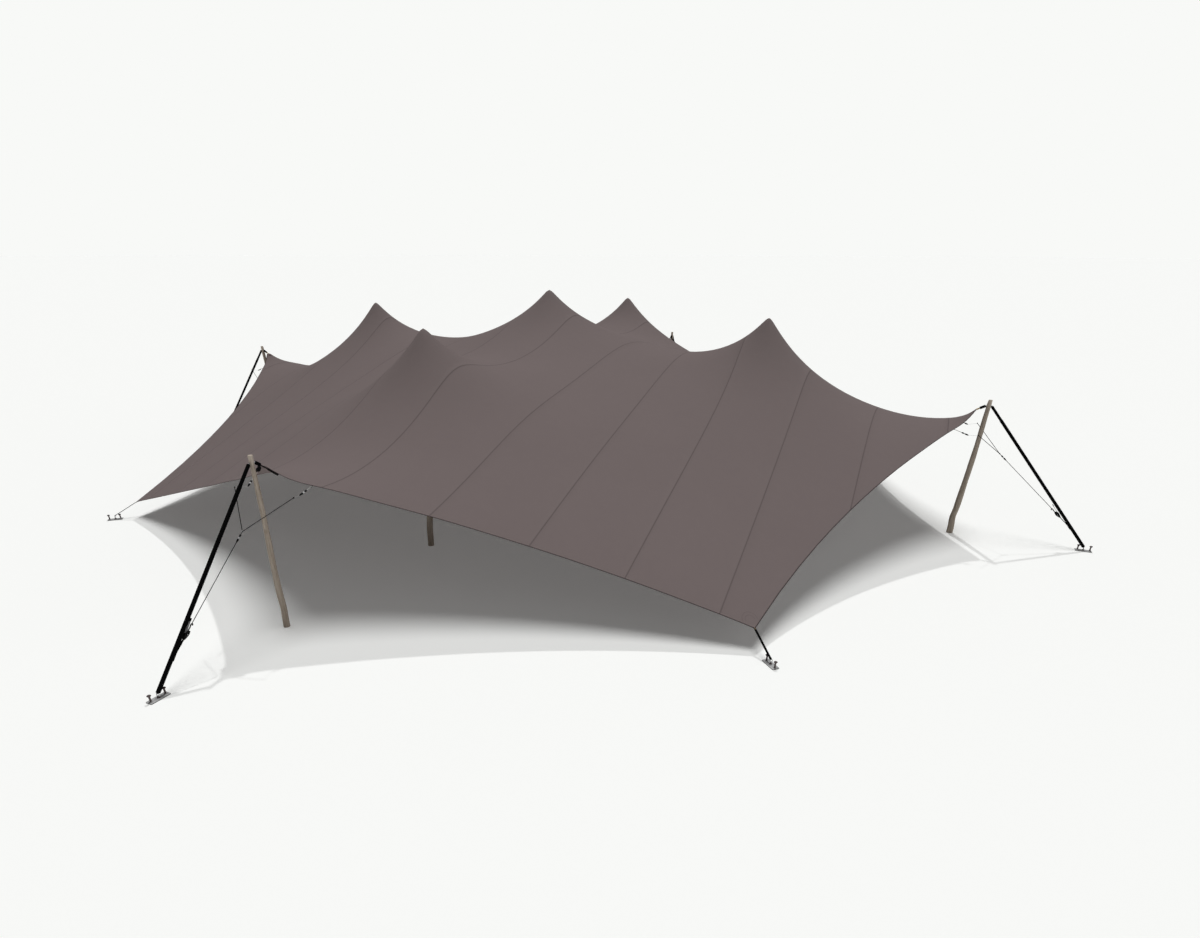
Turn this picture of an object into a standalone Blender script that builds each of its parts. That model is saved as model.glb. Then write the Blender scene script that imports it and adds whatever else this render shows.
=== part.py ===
"""A stretch tent: one elastic canopy over five king poles, with four side poles and eight anchors.

Metres, +Z up. The origin is on the ground under the middle pole, +X runs to the
right-hand side pole and -Y to the front one. The tent is symmetric about both axes.
"""

import math

import bmesh
import bpy
import numpy as np
from mathutils import Matrix, Vector

COLLECTION_NAME = "stretch_tent"
GAP = 0.0003
MERGE_DISTANCE = 0.00002
UP = Vector((0.0, 0.0, 1.0))

# Side poles lean outwards and hold the middle of each side up
SIDE_HEIGHT = 2.5
SIDE_REACH_X = 8.61
SIDE_REACH_Y = 8.00
SIDE_LEAN_X = 0.355
SIDE_LEAN_Y = 0.23
SIDE_FOOT_RADIUS = 0.050
SIDE_NECK_RADIUS = 0.033
SIDE_HEAD_RADIUS = 0.036
SIDE_RIM_RADIUS = 0.032
SIDE_NECK_BELOW_TOP = 0.16
SIDE_FLARE_BELOW_TOP = 0.05
SIDE_RIM_BELOW_TOP = 0.02
POLE_SEGMENTS = 16

# King poles stand under the canopy, the four outer ones with their feet a little further out
KING_REACH_X = 4.70
KING_REACH_Y = 4.37
KING_PEAK_HEIGHT = 3.74
MIDDLE_PEAK_HEIGHT = 4.15
KING_FOOT_OUT = 0.15
KING_RADIUS = 0.052
KING_CAP_RADIUS = 0.062
KING_CAP_LENGTH = 0.12
KING_CAP_SHOULDER = 0.010
KING_CAP_ROUND = 0.050

# Canopy outline: tips hung from the side poles, and corners strapped down to the ground
TIP_GAP_X = 0.21
TIP_GAP_Y = 0.18
TIP_HEIGHT = 2.32
TIP_HALF_WIDTH = 0.050
CORNER_X = 5.99
CORNER_Y = 5.705
CORNER_HEIGHT = 0.31
EDGE_INWARD_FRONT = 0.32
EDGE_INWARD_SIDE = 0.35
EDGE_DROP = 0.12
EDGE_DROP_RUN = 0.020
EDGE_SAMPLES = 61
EDGE_CROWDING = 1.5

# Canopy surface, sewn from strips that run front to back
STRIP_WIDTH = 1.23
CANOPY_THICKNESS = 0.010
PEAK_TIP_RADIUS = 0.05
PEAK_SPREAD = 0.611
PEAK_STEEPNESS = 0.875
PEAK_STEEP_REACH = 0.98
PEAK_WEIGHT = 30.0
FILM_OFFSET = 1.1
FILM_STEP = 7
CAP_HALF_CELL = 0.065
CAP_LEVEL_RADIUS = 0.10

# Straps and the short webbing at the tips
STRAP_WIDTH = 0.050
STRAP_THICKNESS = 0.004
CORNER_STRAP_WIDTH = 0.025
COLLAR_BELOW_TOP = 0.11
COLLAR_HEIGHT = 0.050
COLLAR_WALL = 0.005
COLLAR_OUTER_RADIUS = SIDE_NECK_RADIUS + GAP + COLLAR_WALL
COLLAR_BITE = 0.002
WEBBING_THICKNESS = 0.006
WEBBING_BELOW_COLLAR = 0.010

# Ground anchors
ANCHOR_REACH_X = 10.37
ANCHOR_REACH_Y = 9.68
CORNER_ANCHOR_X = 6.27
CORNER_ANCHOR_Y = 5.98
PLATE_LENGTH = 0.25
PLATE_WIDTH = 0.10
PLATE_THICKNESS = 0.010
EYE_RADIUS = 0.026
EYE_BAR_RADIUS = 0.007
STAKE_RADIUS = 0.012
STAKE_HEAD_RADIUS = 0.022
STAKE_HEIGHT = 0.082
STAKE_HEAD_LENGTH = 0.020
STAKE_OFFSET = 0.092
SIDE_STAKE_LEAN = 0.18
CORNER_STAKE_LEAN = -0.12

# Ratchet on the tent's side of each long strap
TAIL_HEIGHT = 0.48
TAIL_LENGTH = 0.11
TAIL_WIDTH = 0.025
TAIL_THICKNESS = 0.003
RATCHET_LENGTH = 0.12
RATCHET_WIDTH = 0.045
RATCHET_DEPTH = 0.028
RATCHET_OVERLAP = 0.010
DRUM_ALONG = 0.35
DRUM_LENGTH = 0.060
DRUM_RADIUS = 0.017
HANDLE_WIDTH = 0.036
HANDLE_THICKNESS = 0.010
HANDLE_SETBACK = 0.024
HANDLE_RISE = 0.011
HOOK_LENGTH = 0.055
HOOK_WIDTH = 0.022
HOOK_THICKNESS = 0.013

# Forked bridle: places are (outwards from the pole's head, to the side, height)
FORK_PLACE = (0.265, 0.0, 1.565)
BEND_PLACE = (-0.130, 0.520, 1.967)
CLAMP_PLACE = (-0.283, 0.456, 1.942)
BRIDLE_RADIUS = 0.0035
KNOT_RADIUS = 0.011
FITTING_RADIUS = 0.013
FITTING_LENGTH = 0.11
FITTING_BELOW_FORK = 0.040
HEM_ALONG = 0.085
HEM_CLEARANCE = 0.006

COLORS = {
    "canopy_fabric": ((0.160, 0.130, 0.126, 1.0), 0.85, 0.0),
    "pole_wood": ((0.330, 0.250, 0.190, 1.0), 0.75, 0.0),
    "strap_webbing": ((0.012, 0.012, 0.012, 1.0), 0.80, 0.0),
    "bridle_cord": ((0.020, 0.020, 0.022, 1.0), 0.60, 0.0),
    "ratchet_steel": ((0.060, 0.060, 0.065, 1.0), 0.45, 0.7),
    "anchor_steel": ((0.260, 0.255, 0.250, 1.0), 0.45, 0.8),
}


class Side:
    """The places of one side's pole, tip and anchor. Direction points out of the tent."""

    def __init__(self, label, direction, reach, lean, tip_gap, anchor_reach):
        self.label = label
        self.direction = Vector(direction)
        self.across = UP.cross(self.direction)
        self.foot = self.direction * (reach - lean)
        self.head = self.direction * reach + UP * SIDE_HEIGHT
        self.tip = self.direction * (reach - tip_gap) + UP * TIP_HEIGHT
        self.anchor = self.direction * anchor_reach

    def axis_at(self, height):
        return self.foot.lerp(self.head, height / SIDE_HEIGHT)

    def place(self, outwards, sideways, height):
        """A point given from the ground under the pole's head."""
        level = Vector((self.head.x, self.head.y, height))
        return level + self.direction * outwards + self.across * sideways


SIDES = (
    Side("front", (0.0, -1.0, 0.0), SIDE_REACH_Y, SIDE_LEAN_Y, TIP_GAP_Y, ANCHOR_REACH_Y),
    Side("right", (1.0, 0.0, 0.0), SIDE_REACH_X, SIDE_LEAN_X, TIP_GAP_X, ANCHOR_REACH_X),
    Side("back", (0.0, 1.0, 0.0), SIDE_REACH_Y, SIDE_LEAN_Y, TIP_GAP_Y, ANCHOR_REACH_Y),
    Side("left", (-1.0, 0.0, 0.0), SIDE_REACH_X, SIDE_LEAN_X, TIP_GAP_X, ANCHOR_REACH_X),
)
CORNERS = (
    ("front_right", 1.0, -1.0),
    ("back_right", 1.0, 1.0),
    ("back_left", -1.0, 1.0),
    ("front_left", -1.0, -1.0),
)
KINGS = (
    ("middle", 0.0, 0.0, MIDDLE_PEAK_HEIGHT),
    ("front", 0.0, -KING_REACH_Y, KING_PEAK_HEIGHT),
    ("right", KING_REACH_X, 0.0, KING_PEAK_HEIGHT),
    ("back", 0.0, KING_REACH_Y, KING_PEAK_HEIGHT),
    ("left", -KING_REACH_X, 0.0, KING_PEAK_HEIGHT),
)


def clear_scene():
    for item in list(bpy.data.objects):
        bpy.data.objects.remove(item, do_unlink=True)


def make_material(name):
    color, roughness, metallic = COLORS[name]
    material = bpy.data.materials.new(name)
    material.use_nodes = True
    shader = material.node_tree.nodes["Principled BSDF"]
    shader.inputs["Base Color"].default_value = color
    shader.inputs["Roughness"].default_value = roughness
    shader.inputs["Metallic"].default_value = metallic
    material.diffuse_color = color
    return material


def mesh_object(name, bm, collection, material):
    """Turn a bmesh into a named object with outward faces."""
    bm.normal_update()
    bmesh.ops.recalc_face_normals(bm, faces=bm.faces)
    mesh = bpy.data.meshes.new(name)
    bm.to_mesh(mesh)
    bm.free()
    mesh.materials.append(material)
    item = bpy.data.objects.new(name, mesh)
    collection.objects.link(item)
    return item


def edge_point(t, tip, corner, most_inward):
    """A point on a canopy edge, from a raised tip (t = 0) down to a low corner (t = 1).

    The edge bows inwards in plan, and falls away steeply right beside the tip.
    """
    run = corner - tip
    length = math.hypot(run.x, run.y)
    inward = Vector((-run.y / length, run.x / length, 0.0))
    if inward.dot(tip + corner) > 0.0:
        inward.negate()
    bow = most_inward * 4.0 * t * (1.0 - t)
    drop = EDGE_DROP * (1.0 - t) * (1.0 - math.exp(-t / EDGE_DROP_RUN))
    return tip + run * t + inward * bow - UP * drop


def front_edge(t):
    """The edge from the front tip to the front right corner."""
    tip = SIDES[0].tip + Vector((TIP_HALF_WIDTH, 0.0, 0.0))
    return edge_point(t, tip, Vector((CORNER_X, -CORNER_Y, CORNER_HEIGHT)), EDGE_INWARD_FRONT)


def right_edge(t):
    """The edge from the right tip to the front right corner."""
    tip = SIDES[1].tip - Vector((0.0, TIP_HALF_WIDTH, 0.0))
    return edge_point(t, tip, Vector((CORNER_X, -CORNER_Y, CORNER_HEIGHT)), EDGE_INWARD_SIDE)


def quarter_edge():
    """Points from the front tip over the corner to the right tip, crowded at the tips."""
    steps = np.linspace(0.0, 1.0, EDGE_SAMPLES) ** EDGE_CROWDING
    first = [front_edge(t) for t in steps]
    second = [right_edge(t) for t in reversed(steps[:-1])]
    return np.array([tuple(point) for point in first + second])


def half_depth(x, edge):
    """How far the canopy reaches to the front or the back at a place along X."""
    return np.interp(np.abs(x), edge[:, 0], -edge[:, 1])


def peak_term(x, y, peak_x, peak_y):
    """The cone that one king pole raises: round at its tip, steep beside it, gentle far out."""
    reach = np.maximum(np.hypot(x - peak_x, y - peak_y), PEAK_TIP_RADIUS)
    steep = PEAK_STEEPNESS * np.exp(-reach / PEAK_STEEP_REACH)
    return steep - np.log(reach + PEAK_SPREAD)


class CanopyHeight:
    """Height of the canopy's top: cones at the poles plus a taut film held by the edges.

    The film is a sum of log terms whose centres lie outside the edge, which is how a
    soap film on a closed wire is written. Their strengths are solved so that the edge
    and the peaks come to their stated heights.
    """

    def __init__(self, edge):
        reach = np.hypot(edge[:, 0], edge[:, 1])
        pushed_out = edge[:, :2] * (1.0 + FILM_OFFSET / reach)[:, None]
        self.centres = pushed_out[::FILM_STEP]
        peaks = np.array([(-abs(x), -abs(y), top) for _, x, y, top in KINGS[:3]])
        points = np.vstack([edge, peaks])
        weight = np.ones(len(points))
        weight[-len(peaks):] = PEAK_WEIGHT
        matrix = self.terms(points[:, 0], points[:, 1]) * weight[:, None]
        self.strengths = np.linalg.lstsq(matrix, points[:, 2] * weight, rcond=1e-9)[0]

    def terms(self, x, y):
        """One column for each unknown: a constant, the film's terms and the cones."""
        columns = [np.ones_like(x)]
        for centre_x, centre_y in self.centres:
            total = np.zeros_like(x)
            for sign_x in (-1.0, 1.0):
                for sign_y in (-1.0, 1.0):
                    total += np.log(np.hypot(x - sign_x * centre_x, y - sign_y * centre_y))
            columns.append(total)
        columns.append(peak_term(x, y, 0.0, 0.0))
        columns.append(
            peak_term(x, y, 0.0, -KING_REACH_Y) + peak_term(x, y, 0.0, KING_REACH_Y))
        columns.append(
            peak_term(x, y, -KING_REACH_X, 0.0) + peak_term(x, y, KING_REACH_X, 0.0))
        return np.stack(columns, axis=-1)

    def at(self, x, y):
        """Height at a place, level over the cell on each pole's cap."""
        height = float((self.terms(np.array([x]), np.array([y])) @ self.strengths)[0])
        for _, peak_x, peak_y, top in KINGS:
            if math.hypot(x - peak_x, y - peak_y) <= CAP_LEVEL_RADIUS:
                height = top
        return height


# Grid lines of the canopy: columns along X for its right-hand half, rows as shares of depth
SEAMS = tuple(STRIP_WIDTH * (index + 0.5) for index in range(7))
FOLD_X = 0.28
HEM_X_FRONT = front_edge(HEM_ALONG).x
HEM_X_RIGHT = right_edge(HEM_ALONG).x
MIDDLE_HALF_COLUMNS = (CAP_HALF_CELL, FOLD_X, HEM_X_FRONT, SEAMS[0])
STRIP_COLUMNS = (
    ("middle", (*(-x for x in reversed(MIDDLE_HALF_COLUMNS)), *MIDDLE_HALF_COLUMNS)),
    ("inner", (SEAMS[0], STRIP_WIDTH, SEAMS[1], 2.0 * STRIP_WIDTH, SEAMS[2])),
    ("outer", (SEAMS[2], SEAMS[3], KING_REACH_X - CAP_HALF_CELL,
               KING_REACH_X + CAP_HALF_CELL, 5.05, SEAMS[4])),
    ("edge", (SEAMS[4], CORNER_X, SEAMS[5], 7.40, SEAMS[6], HEM_X_RIGHT,
              SIDE_REACH_X - TIP_GAP_X)),
)
ROW_SHARES = (0.10, 0.21, 0.33, 0.45, 0.66, 0.78, 0.90, 1.0)


def row_places(x, edge):
    """Y places of the grid rows in a column, with a row each side of the king poles."""
    depth = float(half_depth(x, edge))
    middle_depth = float(half_depth(0.0, edge))
    beside_kings = [(KING_REACH_Y + side * CAP_HALF_CELL) / middle_depth for side in (-1, 1)]
    middle_share = CAP_HALF_CELL / max(depth, 1.0)
    half = [share * depth for share in sorted([middle_share, *beside_kings, *ROW_SHARES])]
    return [-place for place in reversed(half)] + half


def make_strip(name, columns, edge, canopy, collection, material):
    """One strip of the canopy: a grid laid on the canopy's surface, then given its thickness."""
    places_x = [columns[0] + GAP / 2.0, *columns[1:-1], columns[-1] - GAP / 2.0]
    row_count = len(row_places(places_x[0], edge))
    bm = bmesh.new()
    bmesh.ops.create_grid(
        bm, x_segments=len(places_x) - 1, y_segments=row_count - 1, size=1.0)
    for vert in bm.verts:
        column = round((vert.co.x + 1.0) / 2.0 * (len(places_x) - 1))
        row = round((vert.co.y + 1.0) / 2.0 * (row_count - 1))
        x = places_x[column]
        y = row_places(x, edge)[row]
        vert.co = Vector((x, y, canopy.at(x, y)))
    lower = bmesh.ops.extrude_face_region(bm, geom=list(bm.faces))
    moved = [part for part in lower["geom"] if isinstance(part, bmesh.types.BMVert)]
    bmesh.ops.translate(bm, verts=moved, vec=(0.0, 0.0, -CANOPY_THICKNESS))
    bmesh.ops.triangulate(bm, faces=bm.faces)
    return mesh_object(name, bm, collection, material)


def make_canopy(collection, material):
    """All strips of the canopy. Returns its height function."""
    edge = quarter_edge()
    canopy = CanopyHeight(edge)
    for label, columns in STRIP_COLUMNS:
        if label == "middle":
            make_strip("canopy_middle", columns, edge, canopy, collection, material)
            continue
        mirrored = tuple(-x for x in reversed(columns))
        make_strip("canopy_right_" + label, columns, edge, canopy, collection, material)
        make_strip("canopy_left_" + label, mirrored, edge, canopy, collection, material)
    return canopy


def spun(points, closed, segments):
    """Turn an outline of (radius, height) points once about Z."""
    bm = bmesh.new()
    verts = [bm.verts.new((radius, 0.0, height)) for radius, height in points]
    for lower, upper in zip(verts, verts[1:]):
        bm.edges.new((lower, upper))
    if closed:
        bm.edges.new((verts[-1], verts[0]))
    bmesh.ops.spin(
        bm, geom=bm.verts[:] + bm.edges[:], cent=(0.0, 0.0, 0.0), axis=(0.0, 0.0, 1.0),
        angle=math.tau, steps=segments, use_merge=True, use_duplicate=False)
    bmesh.ops.remove_doubles(bm, verts=bm.verts, dist=MERGE_DISTANCE)
    return bm


def turned_post(profile, segments):
    """A solid of revolution from (radius, height) pairs, bottom first, closed on its axis."""
    ends = (0.0, profile[0][1]), (0.0, profile[-1][1])
    return spun([ends[0], *profile, ends[1]], False, segments)


def leaning(foot, head):
    """Stand an upright shape on its foot and shear it, so that its axis runs to its head."""
    shear = Matrix.Identity(4)
    shear[0][2] = (head.x - foot.x) / (head.z - foot.z)
    shear[1][2] = (head.y - foot.y) / (head.z - foot.z)
    return Matrix.Translation(foot) @ shear


def make_side_pole(side, collection, material):
    profile = [
        (SIDE_FOOT_RADIUS, 0.0),
        (SIDE_NECK_RADIUS, SIDE_HEIGHT - SIDE_NECK_BELOW_TOP),
        (SIDE_NECK_RADIUS, SIDE_HEIGHT - SIDE_FLARE_BELOW_TOP),
        (SIDE_HEAD_RADIUS, SIDE_HEIGHT - SIDE_RIM_BELOW_TOP),
        (SIDE_RIM_RADIUS, SIDE_HEIGHT),
    ]
    bm = turned_post(profile, POLE_SEGMENTS)
    bm.transform(leaning(side.foot, side.head))
    return mesh_object("side_pole_" + side.label, bm, collection, material)


def make_king_pole(label, x, y, top, collection, material):
    """A post with a rounded cap, just under the canopy's level cell on that pole."""
    cap_top = top - CANOPY_THICKNESS - GAP
    shoulder = cap_top - KING_CAP_LENGTH
    profile = [
        (KING_RADIUS, 0.0),
        (KING_RADIUS, shoulder),
        (KING_CAP_RADIUS, shoulder + KING_CAP_SHOULDER),
        (KING_CAP_RADIUS, cap_top - KING_CAP_ROUND),
        (KING_CAP_RADIUS * 0.75, cap_top - KING_CAP_ROUND * 0.3),
        (KING_CAP_RADIUS * 0.35, cap_top),
    ]
    bm = turned_post(profile, POLE_SEGMENTS)
    head = Vector((x, y, cap_top))
    foot = Vector((x, y, 0.0))
    foot += foot.normalized() * KING_FOOT_OUT
    bm.transform(leaning(foot, head))
    return mesh_object("king_pole_" + label, bm, collection, material)


def bar_matrix(start, end, across):
    """Axes for a bar: X along it, Y across it and Z through it, centred between its ends."""
    along = (end - start).normalized()
    side = (across - along * across.dot(along)).normalized()
    through = along.cross(side)
    turn = Matrix((along, side, through)).transposed().to_4x4()
    return Matrix.Translation((start + end) / 2.0) @ turn


def flat_bar(start, end, width, thickness, across):
    bm = bmesh.new()
    bmesh.ops.create_cube(bm, size=1.0)
    size = Matrix.Diagonal(((end - start).length, width, thickness, 1.0))
    bm.transform(bar_matrix(start, end, across) @ size)
    return bm


def round_bar(start, end, radius, segments):
    bm = bmesh.new()
    bmesh.ops.create_cone(
        bm, cap_ends=True, segments=segments, radius1=radius, radius2=radius,
        depth=(end - start).length)
    turn = (end - start).to_track_quat("Z", "Y").to_matrix().to_4x4()
    bm.transform(Matrix.Translation((start + end) / 2.0) @ turn)
    return bm


def ball(centre, radius):
    bm = bmesh.new()
    bmesh.ops.create_uvsphere(bm, u_segments=8, v_segments=6, radius=radius)
    bm.transform(Matrix.Translation(centre))
    return bm


def union_of(name, shapes, collection, material):
    """Join overlapping shapes into one closed body."""
    items = [mesh_object(name + "_shape", bm, collection, material) for bm in shapes]
    base = items[0]
    for other in items[1:]:
        join = base.modifiers.new("join", "BOOLEAN")
        join.operation = "UNION"
        join.solver = "EXACT"
        join.object = other
    bpy.context.view_layer.update()
    evaluated = base.evaluated_get(bpy.context.evaluated_depsgraph_get())
    mesh = bpy.data.meshes.new_from_object(evaluated)
    mesh.name = name
    for item in items:
        bpy.data.objects.remove(item, do_unlink=True)
    bm = bmesh.new()
    bm.from_mesh(mesh)
    bpy.data.meshes.remove(mesh)
    bmesh.ops.remove_doubles(bm, verts=bm.verts, dist=MERGE_DISTANCE)
    bmesh.ops.triangulate(bm, faces=bm.faces)
    return mesh_object(name, bm, collection, material)


def make_collar(side):
    """The strap's loop round the pole's straight neck, a ring that leans with the pole."""
    low = SIDE_HEIGHT - COLLAR_BELOW_TOP - COLLAR_HEIGHT / 2.0
    high = low + COLLAR_HEIGHT
    inner = COLLAR_OUTER_RADIUS - COLLAR_WALL
    outer = COLLAR_OUTER_RADIUS
    section = ((inner, low), (outer, low), (outer, high), (inner, high))
    bm = spun(section, True, POLE_SEGMENTS)
    bm.transform(leaning(side.foot, side.head))
    return bm


def eye_centre(anchor):
    return anchor + UP * (PLATE_THICKNESS + EYE_RADIUS)


def strap_ends(side):
    """Upper end in the collar's wall, lower end just short of the anchor's eye."""
    upper = side.axis_at(SIDE_HEIGHT - COLLAR_BELOW_TOP)
    upper += side.direction * (COLLAR_OUTER_RADIUS - COLLAR_BITE)
    eye = eye_centre(side.anchor)
    along = (eye - upper).normalized()
    return upper, eye - along * (EYE_RADIUS + EYE_BAR_RADIUS + GAP)


def make_side_strap(side, collection, material):
    upper, lower = strap_ends(side)
    union_of("side_strap_" + side.label, [
        make_collar(side),
        flat_bar(upper, lower, STRAP_WIDTH, STRAP_THICKNESS, side.across),
    ], collection, material)


def make_tip_webbing(side, canopy, collection, material):
    """The short webbing between the pole head's collar and the fabric's tip."""
    start = side.axis_at(SIDE_HEIGHT - COLLAR_BELOW_TOP - WEBBING_BELOW_COLLAR)
    start -= side.direction * (COLLAR_OUTER_RADIUS + 2.0 * GAP)
    tip = side.tip + side.direction * GAP
    tip.z = canopy.at(side.tip.x, side.tip.y) - CANOPY_THICKNESS / 2.0
    bm = bmesh.new()
    bmesh.ops.create_cube(bm, size=1.0)
    for vert in bm.verts:
        end = start if vert.co.x > 0.0 else tip
        offset = side.across * (vert.co.y * STRAP_WIDTH) + UP * (vert.co.z * WEBBING_THICKNESS)
        vert.co = end + offset
    mesh_object("tip_webbing_" + side.label, bm, collection, material)


def tail_start(side):
    """Where the ratchet's tail meets the tent-side face of the strap."""
    upper, lower = strap_ends(side)
    along = (lower - upper).normalized()
    facing = side.across.cross(along)
    if facing.dot(side.direction) > 0.0:
        facing.negate()
    share = (upper.z - TAIL_HEIGHT) / (upper.z - lower.z)
    return upper.lerp(lower, share) + facing * (STRAP_THICKNESS / 2.0 + GAP + TAIL_THICKNESS / 2.0)


def make_ratchet(side, collection, material):
    """The bridle's ratchet, with its tail on the strap. Returns the tip of its hook."""
    tail = tail_start(side)
    along = (side.place(*FORK_PLACE) - tail).normalized()
    across = side.across
    through = across.cross(along)
    low = tail + along * TAIL_LENGTH
    high = low + along * RATCHET_LENGTH
    hook_end = high + along * HOOK_LENGTH
    drum = low + along * (RATCHET_LENGTH * DRUM_ALONG)
    drum_half = across * (DRUM_LENGTH / 2.0)
    handle_low = drum - along * HANDLE_SETBACK - through * (RATCHET_DEPTH / 2.0)
    handle_high = handle_low + along * RATCHET_LENGTH - through * HANDLE_RISE
    overlap = along * RATCHET_OVERLAP
    union_of("ratchet_" + side.label, [
        flat_bar(low, high, RATCHET_WIDTH, RATCHET_DEPTH, across),
        flat_bar(tail, low + overlap, TAIL_WIDTH, TAIL_THICKNESS, across),
        round_bar(drum - drum_half, drum + drum_half, DRUM_RADIUS, 12),
        flat_bar(handle_low, handle_high, HANDLE_WIDTH, HANDLE_THICKNESS, across),
        flat_bar(high - overlap, hook_end, HOOK_WIDTH, HOOK_THICKNESS, across),
    ], collection, material)
    return hook_end + along * GAP


def hem_place(side, sign):
    """Where a bridle's leg reaches the canopy's edge, beside the tip."""
    edge = front_edge if abs(side.direction.y) > 0.5 else right_edge
    point = edge(HEM_ALONG)
    sideways = abs(point.dot(side.across))
    outwards = abs(point.dot(side.direction))
    level = side.direction * outwards + side.across * (sign * sideways)
    return level + UP * (point.z - CANOPY_THICKNESS - HEM_CLEARANCE)


def make_bridle(side, hook, collection, material):
    """A line from the ratchet's hook to a ring, then a leg to the canopy's edge on each side.

    Each leg bends at a knot and ends in a fitting, and a third fitting is under the ring.
    """
    fork = side.place(*FORK_PLACE)
    down = (hook - fork).normalized()
    fitting_top = fork + down * FITTING_BELOW_FORK
    shapes = [
        ball(fork, KNOT_RADIUS),
        round_bar(hook, fork, BRIDLE_RADIUS, 8),
        round_bar(fitting_top, fitting_top + down * FITTING_LENGTH, FITTING_RADIUS, 8),
    ]
    for sign in (-1.0, 1.0):
        bend = side.place(BEND_PLACE[0], sign * BEND_PLACE[1], BEND_PLACE[2])
        clamp = side.place(CLAMP_PLACE[0], sign * CLAMP_PLACE[1], CLAMP_PLACE[2])
        hem = hem_place(side, sign)
        fitting_end = clamp + (hem - clamp).normalized() * FITTING_LENGTH
        shapes.append(round_bar(fork, bend, BRIDLE_RADIUS, 8))
        shapes.append(ball(bend, KNOT_RADIUS))
        shapes.append(round_bar(bend, clamp, BRIDLE_RADIUS, 8))
        shapes.append(round_bar(clamp, fitting_end, FITTING_RADIUS, 8))
        shapes.append(round_bar(clamp, hem, BRIDLE_RADIUS, 8))
    union_of("bridle_" + side.label, shapes, collection, material)


def turned_stake(base, lean):
    """A stake's top: shaft and mushroom head, leaning a little."""
    neck = STAKE_HEIGHT - STAKE_HEAD_LENGTH
    profile = [
        (STAKE_RADIUS, 0.0),
        (STAKE_RADIUS, neck),
        (STAKE_HEAD_RADIUS, neck + STAKE_HEAD_LENGTH * 0.3),
        (STAKE_HEAD_RADIUS * 0.9, neck + STAKE_HEAD_LENGTH * 0.8),
        (STAKE_HEAD_RADIUS * 0.5, STAKE_HEIGHT),
    ]
    bm = turned_post(profile, 8)
    bm.transform(leaning(base, base + UP * STAKE_HEIGHT + lean * STAKE_HEIGHT))
    return bm


def eye_ring(anchor, pull, across):
    """The upright ring on a plate, turned so that one corner of its outline meets the strap."""
    bpy.ops.mesh.primitive_torus_add(
        major_segments=12, minor_segments=6, major_radius=EYE_RADIUS,
        minor_radius=EYE_BAR_RADIUS)
    torus = bpy.context.active_object
    bm = bmesh.new()
    bm.from_mesh(torus.data)
    bpy.data.objects.remove(torus, do_unlink=True)
    turn = Matrix((pull, across.cross(pull), across)).transposed().to_4x4()
    bm.transform(Matrix.Translation(eye_centre(anchor)) @ turn)
    return bm


def make_anchor(label, anchor, direction, pull, stake_lean, collection, material):
    """Ground plate with two stakes and an upright eye whose bar faces the strap."""
    across = UP.cross(direction)
    half = direction * (PLATE_LENGTH / 2.0)
    middle = anchor + UP * (PLATE_THICKNESS / 2.0)
    shapes = [flat_bar(middle - half, middle + half, PLATE_WIDTH, PLATE_THICKNESS, across)]
    for sign in (-1.0, 1.0):
        base = anchor + direction * (STAKE_OFFSET * sign)
        shapes.append(turned_stake(base, direction * stake_lean))
    shapes.append(eye_ring(anchor, pull, across))
    union_of("anchor_" + label, shapes, collection, material)


def make_corner_set(label, sign_x, sign_y, canopy, collection, materials):
    """A flat strap from the canopy's low corner to the eye of its anchor, and that anchor."""
    tip = Vector((sign_x * CORNER_X, sign_y * CORNER_Y, 0.0))
    anchor = Vector((sign_x * CORNER_ANCHOR_X, sign_y * CORNER_ANCHOR_Y, 0.0))
    outwards = (anchor - tip).normalized()
    tip.z = canopy.at(tip.x, tip.y) - CANOPY_THICKNESS / 2.0
    start = tip + outwards * (STRAP_THICKNESS * 0.3 + GAP)
    eye = eye_centre(anchor)
    pull = (start - eye).normalized()
    end = eye + pull * (EYE_RADIUS + EYE_BAR_RADIUS + GAP)
    bm = flat_bar(start, end, CORNER_STRAP_WIDTH, STRAP_THICKNESS, UP.cross(outwards))
    mesh_object("corner_strap_" + label, bm, collection, materials["strap_webbing"])
    make_anchor(label, anchor, outwards, pull, CORNER_STAKE_LEAN, collection,
                materials["anchor_steel"])


def make_side_set(side, canopy, collection, materials):
    """Pole, strap, tip webbing, ratchet, bridle and anchor of one side."""
    make_side_pole(side, collection, materials["pole_wood"])
    make_side_strap(side, collection, materials["strap_webbing"])
    make_tip_webbing(side, canopy, collection, materials["strap_webbing"])
    hook = make_ratchet(side, collection, materials["ratchet_steel"])
    make_bridle(side, hook, collection, materials["bridle_cord"])
    upper, lower = strap_ends(side)
    pull = (upper - lower).normalized()
    make_anchor(side.label, side.anchor, side.direction, pull, SIDE_STAKE_LEAN, collection,
                materials["anchor_steel"])


def main():
    clear_scene()
    collection = bpy.data.collections.new(COLLECTION_NAME)
    bpy.context.scene.collection.children.link(collection)
    materials = {name: make_material(name) for name in COLORS}
    canopy = make_canopy(collection, materials["canopy_fabric"])
    for label, x, y, top in KINGS:
        make_king_pole(label, x, y, top, collection, materials["pole_wood"])
    for side in SIDES:
        make_side_set(side, canopy, collection, materials)
    for label, sign_x, sign_y in CORNERS:
        make_corner_set(label, sign_x, sign_y, canopy, collection, materials)


main()
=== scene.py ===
"""The looks of a stretch tent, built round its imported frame.

Metres, +Z up, in the frame's own axes. The tent is symmetric about X and Y: its front
pole stands at -Y, its right one at +X, and the origin is on the ground at the middle.
"""

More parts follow.
